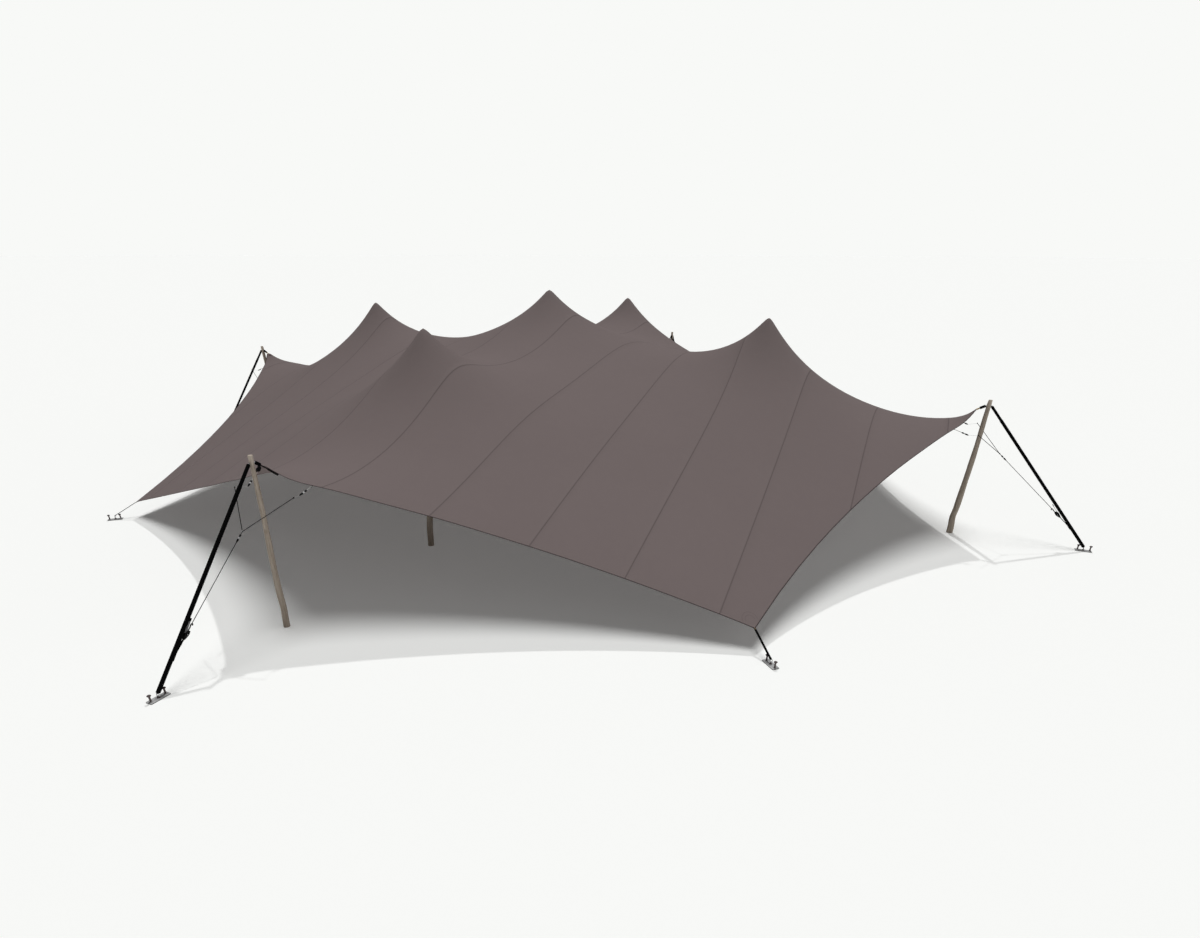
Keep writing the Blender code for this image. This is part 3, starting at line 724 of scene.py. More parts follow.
def seam_shade(tree, place, settings):
    """How dark each lapped seam is, and its two rows of stitches."""
    across = math_node(tree, "ABSOLUTE", split_axis(tree, place, 0))
    wrapped = math_node(tree, "MODULO", across, settings.strip_width)
    from_seam = distance_from(tree, wrapped, settings.strip_width / 2.0)
    lap = ramp(tree, from_seam, *SEAM_LAP, SEAM_SHADE, 0.0)
    from_stitches = distance_from(tree, from_seam, STITCH_ROW)
    stitches = ramp(tree, from_stitches, *STITCH_LINE, STITCH_SHADE, 0.0)
    return math_node(tree, "MAXIMUM", lap, stitches), stitches


def vector_node(tree, operation, first, second=(0.0, 0.0, 0.0)):
    return add_node(
        tree, "ShaderNodeVectorMath", {0: first, 1: second}, operation=operation).outputs


def level_distance(tree, place, x, y):
    """Distance in plan from the nearest of the four mirrored places (x, y)."""
    quarter = vector_node(tree, "ABSOLUTE", place)[0]
    level = vector_node(tree, "MULTIPLY", quarter, LEVEL)[0]
    return vector_node(tree, "DISTANCE", level, (x, y, 0.0))["Value"]


def painted_corner_rings(tree, place):
    """Two arcs of painted shade near each low corner, kept on their inner half."""
    distance = level_distance(
        tree, place, CORNER_X - CORNER_ARCS_INWARD, CORNER_Y - CORNER_ARCS_INWARD)
    arcs = 0.0
    for radius in CORNER_ARCS:
        line = ramp(tree, distance_from(tree, distance, radius), *ARC_LINE, ARC_SHADE, 0.0)
        arcs = math_node(tree, "MAXIMUM", line, arcs)
    quarter = vector_node(tree, "ABSOLUTE", place)[0]
    outwards = vector_node(tree, "DOT_PRODUCT", quarter, LEVEL)["Value"]
    middle = CORNER_X + CORNER_Y - 2.0 * CORNER_ARCS_INWARD
    inner = ramp(tree, outwards, middle, middle + ARC_END, 1.0, 0.0)
    return math_node(tree, "MULTIPLY", arcs, inner)


def tip_patches(tree, place):
    """The darker patch sewn on at each raised tip."""
    front = level_distance(tree, place, 0.0, SIDE_REACH_Y - TIP_GAP_Y)
    right = level_distance(tree, place, SIDE_REACH_X - TIP_GAP_X, 0.0)
    nearest = math_node(tree, "MINIMUM", front, right)
    return ramp(tree, nearest, TIP_PATCH - PATCH_EDGE, TIP_PATCH, 1.0, 0.0)


def fabric_material():
    """Knitted stretch fabric: mottled taupe with darker lapped seams."""
    found = bpy.data.materials.get("stretch_fabric")
    if found:
        return found
    settings = bpy.context.scene.tent_canopy
    material, tree, shader = new_material("stretch_fabric", 0.9, specular=0.08)
    place = object_place(tree)
    tint = add_group(tree, tint_group(), {
        "Vector": place, "Color": settings.fabric_color, "Scale": 0.9, "Amount": 0.10})
    shade, stitches = seam_shade(tree, place, settings)
    # Painted shade rings near the low corners darken the cloth as well
    shade = math_node(tree, "MAXIMUM", shade, painted_corner_rings(tree, place))
    color = blend_colors(tree, shade, tint.outputs["Color"], seam_color(settings))
    color = blend_colors(tree, tip_patches(tree, place), color, settings.patch_color)
    tree.links.new(color, shader.inputs["Base Color"])
    knit = add_group(tree, weave_group(), {
        "Vector": place, "Color": settings.fabric_color, "Pitch": 0.0022, "Contrast": 0.1})
    height = math_node(
        tree, "SUBTRACT", knit.outputs["Height"], math_node(tree, "MULTIPLY", stitches, 3.0))
    set_bump(tree, shader, height, 0.25, 0.0004)
    return material


def hem_material():
    """The same cloth folded over, with a darker roll along its outer edge."""
    found = bpy.data.materials.get("bound_hem")
    if found:
        return found
    settings = bpy.context.scene.tent_canopy
    material, tree, shader = new_material("bound_hem", 0.9, specular=0.08)
    place = tree.nodes.new("ShaderNodeUVMap").outputs[0]
    around = split_axis(tree, place, 0)
    from_roll = distance_from(tree, around, settings.hem_width + HEM_ROLL)
    rolled = ramp(tree, from_roll, HEM_ROLL, HEM_ROLL * HEM_ROLL_EDGE, 1.0, 0.0)
    seams, _ = seam_shade(tree, object_place(tree), settings)
    color = blend_colors(tree, seams, settings.fabric_color, seam_color(settings))
    color = blend_colors(tree, rolled, color, settings.hem_color)
    cloth = add_group(tree, weave_group(), {
        "Vector": place, "Color": color, "Pitch": 0.003, "Contrast": 0.15})
    tint = add_group(tree, tint_group(), {
        "Vector": place, "Color": cloth.outputs["Color"], "Scale": 6.0, "Amount": 0.3})
    tree.links.new(tint.outputs["Color"], shader.inputs["Base Color"])
    set_bump(tree, shader, cloth.outputs["Height"], 0.4, 0.0005)
    return material


def stored(tree, name):
    return add_node(tree, "ShaderNodeAttribute", {}, attribute_name=name).outputs


def timber_material():
    """Peeled round timber, weathered pale beige."""
    found = bpy.data.materials.get("peeled_timber")
    if found:
        return found
    settings = bpy.context.scene.tent_timber
    material, tree, shader = new_material("peeled_timber", 0.85, specular=0.2)
    rest = stored(tree, "rest_place")["Vector"]
    grain = add_group(tree, grain_group(), {
        "Vector": rest, "Pale": settings.pale_color, "Dark": settings.dark_color,
        "Streak": 38.0})
    tint = add_group(tree, tint_group(), {
        "Vector": rest, "Color": grain.outputs["Color"], "Scale": 3.0, "Amount": 0.35})
    # Paler grain over the band at each side pole's head
    head_grain = add_group(tree, grain_group(), {
        "Vector": rest, "Pale": settings.head_band_color, "Dark": settings.pale_color,
        "Streak": 60.0})
    head_band_mask = stored(tree, "paler_head")["Fac"]
    color = blend_colors(tree, head_band_mask, tint.outputs["Color"], head_grain.outputs["Color"])
    tree.links.new(color, shader.inputs["Base Color"])
    set_bump(tree, shader, grain.outputs["Height"], 0.6, 0.002)
    return material


def webbing_material(name, color, pitch=0.0035, contrast=0.35):
    """Flat polyester webbing, woven across its width."""
    found = bpy.data.materials.get(name)
    if found:
        return found
    material, tree, shader = new_material(name, 0.9, specular=0.06)
    place = tree.nodes.new("ShaderNodeUVMap").outputs[0]
    cloth = add_group(tree, weave_group(), {
        "Vector": place, "Color": color, "Pitch": pitch, "Contrast": contrast})
    tint = add_group(tree, tint_group(), {
        "Vector": place, "Color": cloth.outputs["Color"], "Scale": 12.0, "Amount": 0.5})
    tree.links.new(tint.outputs["Color"], shader.inputs["Base Color"])
    set_bump(tree, shader, cloth.outputs["Height"], 0.6, 0.0008)
    return material


def steel_material(name, color, roughness, metallic, specular=0.5, upright_painted_shade=0.0):
    """Worn metal: mottled colour and uneven roughness, with painted shade darkening upright faces
    if asked.
    """
    found = bpy.data.materials.get(name)
    if found:
        return found
    material, tree, shader = new_material(name, roughness, metallic, specular)
    place = object_place(tree)
    tint = add_group(tree, tint_group(), {
        "Vector": place, "Color": color, "Scale": 30.0, "Amount": 0.4})
    # Painted shade: faces that stand upright, read from their own facing, are darkened towards
    # near black
    facing = tree.nodes.new("ShaderNodeTexCoord").outputs["Normal"]
    level = math_node(tree, "ABSOLUTE", split_axis(tree, facing, 2))
    side = ramp(tree, level, 0.3, 0.8, upright_painted_shade, 0.0)
    shaded = blend_colors(tree, side, tint.outputs["Color"], UPRIGHT_SHADE_COLOR)
    tree.links.new(shaded, shader.inputs["Base Color"])
    rough = ramp(tree, tint.outputs["Mask"], 0.3, 0.7, roughness - 0.12, roughness + 0.12)
    tree.links.new(rough, shader.inputs["Roughness"])
    set_bump(tree, shader, tint.outputs["Mask"], 0.3, 0.001)
    return material


def black_webbing():
    return webbing_material("black_webbing", bpy.context.scene.tent_webbing.color)


def black_steel(settings):
    return steel_material("black_steel", settings.black_color, 0.7, 0.0, 0.15)


def bright_steel(settings):
    return steel_material("bright_steel", settings.bright_color, 0.5, 0.3)


def floor_material(settings):
    material, _, shader = new_material("pale_floor", 1.0, specular=0.0)
    shader.inputs["Base Color"].default_value = settings.floor_color
    shader.inputs["Emission Color"].default_value = settings.floor_color
    shader.inputs["Emission Strength"].default_value = settings.floor_glow
    return material


# Mesh helpers

def deselect():
    bpy.ops.object.select_all(action="DESELECT")


def select_only(item):
    deselect()
    item.select_set(True)
    bpy.context.view_layer.objects.active = item


def finish_piece(item, nodes=()):
    """Ride on the one body and stand for CAD nodes."""
    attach(item, "root")
    if nodes:
        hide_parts(*nodes)


def swept(name, rings, material, closed=False):
    """A skin through rings of points, with a UV map in metres: round it and along it."""
    rings = np.asarray(rings, float)
    count, points = rings.shape[:2]
    last = count if closed else count - 1
    mesh = bpy.data.meshes.new(name)
    faces = []
    for ring in range(last):
        following = (ring + 1) % count
        for point in range(points):
            side = (point + 1) % points
            faces.append((ring * points + point, ring * points + side,
                          following * points + side, following * points + point))
    if not closed:
        faces.append(tuple(range(points))[::-1])
        faces.append(tuple(range((count - 1) * points, count * points)))
    mesh.from_pydata(rings.reshape(-1, 3).tolist(), [], faces)
    around = np.linalg.norm(np.roll(rings, -1, axis=1) - rings, axis=2).mean(axis=0)
    around = np.concatenate([[0.0], np.cumsum(around)])
    middles = rings.mean(axis=1)
    steps = np.linalg.norm(np.roll(middles, -1, axis=0) - middles, axis=1)
    along = np.concatenate([[0.0], np.cumsum(steps)])
    uv = mesh.uv_layers.new(name="UVMap")
    coords = []
    for ring in range(last):
        for point in range(points):
            low, high = along[ring], along[ring + 1]
            left, right = around[point], around[point + 1]
            coords += [(left, low), (right, low), (right, high), (left, high)]
    if not closed:
        coords += [(around[point], 0.0) for point in reversed(range(points))]
        coords += [(around[point], along[count - 1]) for point in range(points)]
    uv.data.foreach_set("uv", np.array(coords).ravel())
    bm = bmesh.new()
    bm.from_mesh(mesh)
    bmesh.ops.recalc_face_normals(bm, faces=bm.faces)
    bm.to_mesh(mesh)
    bm.free()
    mesh.materials.append(material)
    item = bpy.data.objects.new(name, mesh)
    bpy.context.scene.collection.objects.link(item)
    smooth_by_angle(item, HARD_ANGLE)
    return item


def smooth_by_angle(item, degrees):
    select_only(item)
    bpy.ops.object.shade_smooth_by_angle(angle=math.radians(degrees))


def path_tangents(path):
    path = np.asarray(path, float)
    tangents = np.gradient(path, axis=0)
    return tangents / np.linalg.norm(tangents, axis=1)[:, None]


def ribbon_rings(path, across, width, thickness):
    """Rings of a flat band with softened edges along a path. The width may change along it."""
    path = np.asarray(path, float)
    across = np.broadcast_to(np.asarray(across, float), path.shape)
    tangents = path_tangents(path)
    across = across - tangents * (across * tangents).sum(axis=1)[:, None]
    across = across / np.linalg.norm(across, axis=1)[:, None]
    through = np.cross(tangents, across)
    half = np.broadcast_to(np.asarray(width, float) / 2.0, len(path))[:, None]
    deep, cut = thickness / 2.0, thickness / 3.0
    section = [
        (1.0, cut, -deep), (1.0, 0.0, cut - deep), (1.0, 0.0, deep - cut), (1.0, cut, deep),
        (0.0, 0.0, deep), (-1.0, cut, deep), (-1.0, 0.0, deep - cut), (-1.0, 0.0, cut - deep),
        (-1.0, cut, -deep), (0.0, 0.0, -deep)]
    return np.stack([path + across * (sign * (half - inset)) + through * height
                     for sign, inset, height in section], axis=1)


def tube_rings(path, radius, sides=10):
    """Rings of a round line along a path."""
    path = np.asarray(path, float)
    tangents = path_tangents(path)
    guide = np.array((0.0, 0.0, 1.0))
    if abs(tangents[0] @ guide) > 0.9:
        guide = np.array((1.0, 0.0, 0.0))
    first = np.cross(tangents, guide)
    first /= np.linalg.norm(first, axis=1)[:, None]
    second = np.cross(tangents, first)
    angles = [math.tau * side / sides for side in range(sides)]
    radius = np.broadcast_to(np.asarray(radius, float), len(path))[:, None]
    return np.stack([
        path + radius * (first * math.cos(angle) + second * math.sin(angle))
        for angle in angles], axis=1)


def straight(start, end, count):
    """Evenly spaced points on a straight line."""
    return [tuple(start.lerp(end, step / (count - 1))) for step in range(count)]


def arc(centre, first, second, radius, low, high, count):
    """Points on an arc in the plane of two unit vectors, from one angle to another."""
    return [
        centre + (first * math.cos(angle) + second * math.sin(angle)) * radius
        for angle in np.linspace(low, high, count)]


def grown(name, stations, sides, material):
    """A disc extruded ring by ring through (centre, radius) stations, as round timber grows."""
    deselect()
    centre, radius = stations[0]
    bpy.ops.mesh.primitive_circle_add(
        vertices=sides, radius=radius, fill_type="NGON", location=centre)
    item = bpy.context.active_object
    item.name = name
    bpy.ops.object.transform_apply(location=True, rotation=True, scale=True)
    bpy.ops.object.mode_set(mode="EDIT")
    bpy.ops.mesh.select_all(action="SELECT")
    for next_centre, next_radius in stations[1:]:
        move = Vector(next_centre) - Vector(centre)
        bpy.ops.mesh.extrude_region_move(TRANSFORM_OT_translate={"value": tuple(move)})
        share = next_radius / radius
        bpy.ops.transform.resize(
            value=(share, share, 1.0), center_override=tuple(next_centre))
        centre, radius = next_centre, next_radius
    bpy.ops.mesh.select_all(action="SELECT")
    bpy.ops.mesh.normals_make_consistent(inside=False)
    bpy.ops.object.mode_set(mode="OBJECT")
    item.data.materials.append(material)
    item.data.name = name
    return item


def turned(name, profile, sides, material):
    """A turned solid on Z from (radius, height) stations, bottom first."""
    stations = [((0.0, 0.0, height), radius) for radius, height in profile]
    item = grown(name, stations, sides, material)
    smooth_by_angle(item, HARD_ANGLE)
    return item


def block(name, size, centre, bevel, material, corner=0.0):
    """A bar with softened edges, and rounded upright corners where asked."""
    deselect()
    bpy.ops.mesh.primitive_cube_add(size=1.0, location=centre)
    item = bpy.context.active_object
    item.name = name
    item.scale = size
    bpy.ops.object.transform_apply(location=True, rotation=True, scale=True)
    bpy.ops.object.mode_set(mode="EDIT")
    if corner:
        bpy.ops.mesh.select_mode(type="EDGE")
        select_upright_edges(item)
        bpy.ops.mesh.bevel(offset=corner, segments=5, affect="EDGES")
    bpy.ops.mesh.select_all(action="SELECT")
    if corner:
        select_rims(item)
    bpy.ops.mesh.bevel(offset=bevel, segments=2, affect="EDGES")
    bpy.ops.object.mode_set(mode="OBJECT")
    item.data.materials.append(material)
    smooth_by_angle(item, HARD_ANGLE)
    return item


def select_upright_edges(item):
    mesh = bmesh.from_edit_mesh(item.data)
    for edge in mesh.edges:
        run = edge.verts[1].co - edge.verts[0].co
        edge.select_set(abs(run.z) > 0.9 * run.length)
    bmesh.update_edit_mesh(item.data)


def select_rims(item):
    """Select the edges between a level face and an upright one."""
    mesh = bmesh.from_edit_mesh(item.data)
    for edge in mesh.edges:
        edge.select_set(False)
    for edge in mesh.edges:
        level = [abs(face.normal.z) > 0.9 for face in edge.link_faces]
        if level.count(True) == 1:
            edge.select_set(True)
    bmesh.update_edit_mesh(item.data)


def ring(name, radius, bar, material):
    """A round steel ring on the XY plane, swollen a little where its bar is welded shut."""
    deselect()
    bpy.ops.mesh.primitive_torus_add(
        major_segments=40, minor_segments=12, major_radius=radius, minor_radius=bar)
    item = bpy.context.active_object
    item.name = name
    weld = bar * WELD_LENGTH
    bpy.ops.object.mode_set(mode="EDIT")
    mesh = bmesh.from_edit_mesh(item.data)
    for vert in mesh.verts:
        vert.select_set(vert.co.y < -radius * 0.9 and abs(vert.co.x) < weld)
    bmesh.update_edit_mesh(item.data)
    bpy.ops.transform.resize(value=WELD_SWELL, center_override=(0.0, -radius, 0.0))
    bpy.ops.object.mode_set(mode="OBJECT")
    item.data.materials.append(material)
    smooth_by_angle(item, RING_ANGLE)
    return item


def put(item, matrix):
    """Place a piece by a matrix and leave its place in its mesh."""
    select_only(item)
    item.matrix_world = matrix @ item.matrix_world
    bpy.ops.object.transform_apply(location=True, rotation=True, scale=True)
    return item


def joined(name, items):
    """Join several shapes into one named object."""
    deselect()
    for item in items:
        item.select_set(True)
    bpy.context.view_layer.objects.active = items[0]
    if len(items) > 1:
        bpy.ops.object.join()
    whole = bpy.context.active_object
    whole.name = name
    whole.data.name = name
    return whole


def copy_of(item, name):
    """A copy with its own mesh."""
    twin = item.copy()
    twin.data = item.data.copy()
    twin.name = name
    twin.data.name = name
    bpy.context.scene.collection.objects.link(twin)
    return twin


def axes_matrix(origin, along, across):
    """X along a direction, Y across it, Z through it."""
    along = along.normalized()
    across = (across - along * across.dot(along)).normalized()
    turn = Matrix((along, across, along.cross(across))).transposed().to_4x4()
    return Matrix.Translation(origin) @ turn


# The canopy's surface

def edge_point(t, tip, corner, most_inward):
    """A point on a canopy edge, from a raised tip (t = 0) down to a low corner (t = 1)."""
    run = corner - tip
    length = math.hypot(run.x, run.y)
    inward = Vector((-run.y / length, run.x / length, 0.0))
    if inward.dot(tip + corner) > 0.0:
        inward.negate()
    bow = most_inward * 4.0 * t * (1.0 - t)
    drop = EDGE_DROP * (1.0 - t) * (1.0 - math.exp(-t / EDGE_DROP_RUN))
    return tip + run * t + inward * bow - UP * drop


def front_edge(t):
    tip = SIDES[0].tip + Vector((TIP_HALF_WIDTH, 0.0, 0.0))
    return edge_point(t, tip, Vector((CORNER_X, -CORNER_Y, CORNER_HEIGHT)), EDGE_INWARD_FRONT)


def right_edge(t):
    tip = SIDES[1].tip - Vector((0.0, TIP_HALF_WIDTH, 0.0))
    return edge_point(t, tip, Vector((CORNER_X, -CORNER_Y, CORNER_HEIGHT)), EDGE_INWARD_SIDE)


def quarter_edge(samples):
    """Points from the front tip over the corner to the right tip, crowded at the tips."""
    steps = np.linspace(0.0, 1.0, samples) ** EDGE_CROWDING
    first = [front_edge(t) for t in steps]
    second = [right_edge(t) for t in reversed(steps[:-1])]
    return np.array([tuple(point) for point in first + second])


def peak_term(x, y, peak_x, peak_y):
    """The cone that one king pole raises, rounded off over the pole's cap."""
    reach = np.hypot(np.hypot(x - peak_x, y - peak_y), PEAK_TIP_RADIUS)
    steep = PEAK_STEEPNESS * np.exp(-reach / PEAK_STEEP_REACH)
    return steep - np.log(reach + PEAK_SPREAD)


class CanopyHeight:
    """Height of the canopy's top: cones at the poles plus a taut film held by the edges."""

    def __init__(self):
        edge = quarter_edge(EDGE_SAMPLES)
        reach = np.hypot(edge[:, 0], edge[:, 1])
        pushed_out = edge[:, :2] * (1.0 + FILM_OFFSET / reach)[:, None]
        self.centres = pushed_out[::FILM_STEP]
        peaks = np.array([(-abs(x), -abs(y), top) for _, x, y, top in KINGS[:3]])
        points = np.vstack([edge, peaks])
        weight = np.ones(len(points))
        weight[-len(peaks):] = PEAK_WEIGHT
        matrix = self.terms(points[:, 0], points[:, 1]) * weight[:, None]
        self.strengths = np.linalg.lstsq(matrix, points[:, 2] * weight, rcond=1e-9)[0]

    def terms(self, x, y):
        """One column for each unknown: a constant, the film's terms and the cones."""
        columns = [np.ones_like(x)]
        for centre_x, centre_y in self.centres:
            total = np.zeros_like(x)
            for sign_x in (-1.0, 1.0):
                for sign_y in (-1.0, 1.0):
                    total += np.log(np.hypot(x - sign_x * centre_x, y - sign_y * centre_y))
            columns.append(total)
        columns.append(peak_term(x, y, 0.0, 0.0))
        columns.append(
            peak_term(x, y, 0.0, -KING_REACH_Y) + peak_term(x, y, 0.0, KING_REACH_Y))
        columns.append(
            peak_term(x, y, -KING_REACH_X, 0.0) + peak_term(x, y, KING_REACH_X, 0.0))
        return np.stack(columns, axis=-1)

    def at(self, x, y):
        x = np.asarray(x, float)
        return self.terms(x, np.asarray(y, float)) @ self.strengths

    def on(self, x, y):
        return float(self.at([x], [y])[0])


CANOPY = CanopyHeight()
FINE_EDGE = quarter_edge(FINE_EDGE_SAMPLES)


def half_depth(x):
    """How far the canopy reaches to the front or the back at a place along X."""
    return np.interp(np.abs(x), FINE_EDGE[:, 0], -FINE_EDGE[:, 1])


def graded(low, high, centres, settings):
    """Places from low to high, close together near the centres."""
    places = [low]
    while places[-1] < high:
        nearest = min(abs(places[-1] - centre) for centre in centres)
        step = settings.fine_cell + settings.growth * nearest
        places.append(places[-1] + min(settings.cell, step))
    stretch = (high - low) / (places[-1] - low)
    return [low + (place - low) * stretch for place in places]


def seam_places(settings):
    return [settings.strip_width * (index + 0.5) for index in range(SEAM_COUNT)]


def canopy_columns(settings):
    """Places along X with a flag for those on top of a seam."""
    tip_x = SIDE_REACH_X - TIP_GAP_X
    centres = (0.0, KING_REACH_X, tip_x)
    base = [0.0, *graded(TIP_HALF_WIDTH, KING_REACH_X, centres, settings),
            *graded(KING_REACH_X, CORNER_X, centres, settings)[1:],
            *graded(CORNER_X, tip_x, centres, settings)[1:]]
    keep_off = settings.seam_width
    seams = seam_places(settings)
    fixed = (0.0, TIP_HALF_WIDTH, KING_REACH_X, CORNER_X, tip_x)
    places = {x: False for x in base
              if x in fixed or min(abs(x - seam) for seam in seams) > keep_off}
    for seam in seams:
        half = settings.seam_width / 2.0
        for offset, raised in ((half + SEAM_SHOULDER, False), (half, True)):
            places[seam - offset] = raised
            places[seam + offset] = raised
    right = sorted(places.items())
    left = [(-x, raised) for x, raised in reversed(right) if x > 0.0]
    return left + right


def canopy_rows(settings):
    """Shares of the half depth, close together at the king poles' and tips' rows."""
    depth = SIDE_REACH_Y - TIP_GAP_Y
    centres = (0.0, KING_REACH_Y, depth)
    half = graded(0.0, KING_REACH_Y, centres, settings)
    half += graded(KING_REACH_Y, depth, centres, settings)[1:]
    shares = [place / depth for place in half]
    return [-share for share in reversed(shares[1:])] + shares


def canopy_shell(settings):
    """One closed thin shell: a top grid, a bottom grid and the walls between their rims.

    Returns its points, its faces and the top's outline, counter-clockwise from above.
    """
    columns = canopy_columns(settings)
    rows = np.array(canopy_rows(settings))
    x = np.array([place for place, _ in columns])
    raised = np.array([flag for _, flag in columns])
    grid_x = np.repeat(x[:, None], len(rows), axis=1)
    grid_y = half_depth(x)[:, None] * rows[None, :]
    height = CANOPY.at(grid_x.ravel(), grid_y.ravel()).reshape(grid_x.shape)
    lift = np.where(raised, settings.seam_height, 0.0)[:, None]
    top = np.stack([grid_x, grid_y, height + lift], axis=-1)
    bottom = np.stack([grid_x, grid_y, height - settings.thickness - lift], axis=-1)
    count_x, count_y = grid_x.shape
    base = count_x * count_y
    index = np.arange(base).reshape(count_x, count_y)
    quads = np.stack([index[:-1, :-1], index[1:, :-1], index[1:, 1:], index[:-1, 1:]], axis=-1)
    quads = quads.reshape(-1, 4)
    rim = np.concatenate([
        index[:, 0], index[-1, 1:], index[-2::-1, -1], index[0, -2:0:-1]])
    following = np.roll(rim, -1)
    walls = np.stack([rim + base, following + base, following, rim], axis=-1)
    faces = np.vstack([quads, quads[:, ::-1] + base, walls])
    verts = np.vstack([top.reshape(-1, 3), bottom.reshape(-1, 3)])
    return verts, faces, verts[rim]


def finer(loop, step):
    """The same closed line, with points no further apart than a step."""
    path = []
    for here, following in zip(loop, np.roll(loop, -1, axis=0)):
        count = max(1, math.ceil(np.linalg.norm(following - here) / step))
        path += [here + (following - here) * (part / count) for part in range(count)]
    return np.array(path)


def inward_normals(loop):
    """Mitred inward directions in plan, long enough to keep the hem's width at corners."""
    loop = loop[:, :2]
    before = loop - np.roll(loop, 1, axis=0)
    after = np.roll(loop, -1, axis=0) - loop
    before /= np.linalg.norm(before, axis=1)[:, None]
    after /= np.linalg.norm(after, axis=1)[:, None]
    normal_before = np.stack([-before[:, 1], before[:, 0]], axis=1)
    normal_after = np.stack([-after[:, 1], after[:, 0]], axis=1)
    middle = normal_before + normal_after
    middle /= np.linalg.norm(middle, axis=1)[:, None]
    return middle / np.maximum((middle * normal_after).sum(axis=1), 0.5)[:, None]


def height_below(surface, x, y, fallback):
    """Height of a surface at a place, or a fallback where the place is off it."""
    found = surface.ray_cast(Vector((x, y, MIDDLE_PEAK_HEIGHT + 1.0)), -UP)[0]
    return found.z if found else fallback


def hem_rings(settings, surface, outline):
    """The folded hem: a closed section carried round the whole outline, on the cloth."""
    below = settings.thickness
    top = [(settings.hem_width + inset, lift) for inset, lift in HEM_INNER_EDGE]
    top += HEM_FOLD
    bottom = [(distance, -below - lift) for distance, lift in reversed(top)]
    section = [*top, (HEM_NOSE, -below / 2.0), *bottom]
    loop = finer(outline, settings.hem_step)
    inward = inward_normals(loop)
    rings = []
    for distance, lift in section:
        points = loop[:, :2] + inward * distance
        height = loop[:, 2]
        if distance > 0.0:
            height = np.array([height_below(surface, x, y, edge)
                               for (x, y), edge in zip(points, height)])
        rings.append(np.column_stack([points, height + lift]))
    return np.stack(rings, axis=1)


class TENT_OT_canopy(bpy.types.Operator):
    """One continuous sheet over the five poles, with its seams and bound hem"""

    bl_idname = "tent.canopy"
    bl_label = "Canopy"

    def execute(self, context):
        settings = context.scene.tent_canopy
        verts, faces, outline = canopy_shell(settings)
        mesh = bpy.data.meshes.new("canopy")
        mesh.from_pydata(verts.tolist(), [], faces.tolist())
        mesh.materials.append(fabric_material())
        canopy = bpy.data.objects.new("canopy", mesh)
        context.scene.collection.objects.link(canopy)
        smooth_by_angle(canopy, CLOTH_ANGLE)
        finish_piece(canopy, CANOPY_NODES)
        surface = BVHTree.FromPolygons(verts.tolist(), faces.tolist())
        hem = swept("canopy_hem", hem_rings(settings, surface, outline), hem_material(),
                    closed=True)
        finish_piece(hem)
        return {"FINISHED"}


# Poles

def pole_radius(height, profile):
    heights = [station[1] for station in profile]
    return float(np.interp(height, heights, [station[0] for station in profile]))


def crooked_stations(foot, head, profile, settings, phase, kink_share):
    """Ring centres and radii of a naturally grown pole, straight again at its head.

    It sways slowly along its length and has one sharper kink just above its foot.
    """
    length = head.z - foot.z
    count = max(4, round(length / settings.ring_step))
    stations = []
    for ring_index in range(count + 1):
        share = ring_index / count
        height = length * share
        calm = min(1.0, (1.0 - share) * CALM_HEAD) * min(1.0, share * CALM_FOOT)
        sway = settings.crook * calm
        kink = settings.kink * kink_share * math.exp(-((height - KINK_HEIGHT) / KINK_REACH) ** 2)
        stray_x = sway * math.sin(share * SWAY_WAVE_X + phase) + kink * math.cos(phase)
        stray_y = sway * math.sin(share * SWAY_WAVE_Y + phase * 1.7) + kink * math.sin(phase)
        centre = foot.lerp(head, share) + Vector((stray_x, stray_y, 0.0))
        swell = GIRTH_SHARE * calm * math.sin(share * GIRTH_WAVE + phase * 2.3)
        radius = pole_radius(height, profile) * (1.0 + swell)
        stations.append((tuple(centre), radius))
    return stations


def keep_rest_place(item, foot, head, phase, head_band_length=0.0):
    """Store each point's place in the pole's own upright axes, and whether it lies in the paler
    band at the head.
    """
    mesh = item.data
    head_band_mask = mesh.attributes.new("paler_head", "FLOAT", "POINT")
    head_band_mask.data.foreach_set("value", [
        float(vert.co.z > head.z - head_band_length) for vert in mesh.vertices])
    rest = mesh.attributes.new("rest_place", "FLOAT_VECTOR", "POINT")
    values = []
    for vert in mesh.vertices:
        share = (vert.co.z - foot.z) / (head.z - foot.z)
        axis = foot.lerp(head, share)
        values += [vert.co.x - axis.x + phase, vert.co.y - axis.y, vert.co.z + phase * 3.0]
    rest.data.foreach_set("vector", values)


def add_lumps(item, depth):
    """Push the surface in and out a little with a cloud texture, and apply it."""
    texture = bpy.data.textures.new(item.name + "_lumps", "CLOUDS")
    texture.noise_scale = LUMP_SIZE
    texture.noise_depth = 1
    push = item.modifiers.new("lumps", "DISPLACE")
    push.texture = texture
    push.texture_coords = "LOCAL"
    push.strength = depth
    push.mid_level = 0.5
    bpy.context.view_layer.objects.active = item
    bpy.ops.object.modifier_apply(modifier=push.name)


def round_pole(name, foot, head, profile, settings, phase, kink_share=1.0, head_band_length=0.0):
    """A pole of grown timber, sawn level, with a softened lip at its head."""
    stations = crooked_stations(foot, head, profile, settings, phase, kink_share)
    rim_centre, rim_radius = stations[-1]
    lip = Vector(rim_centre) - UP * LIP_HEIGHT
    stations[-1] = (tuple(lip), rim_radius)
    stations.append((rim_centre, rim_radius * LIP_SHARE))
    item = grown(name, stations, settings.sides, timber_material())
    add_lumps(item, settings.lumps)
    flatten_ends(item, foot.z, head.z)
    keep_rest_place(item, foot, head, phase, head_band_length)
    smooth_by_angle(item, CLOTH_ANGLE)
    return item


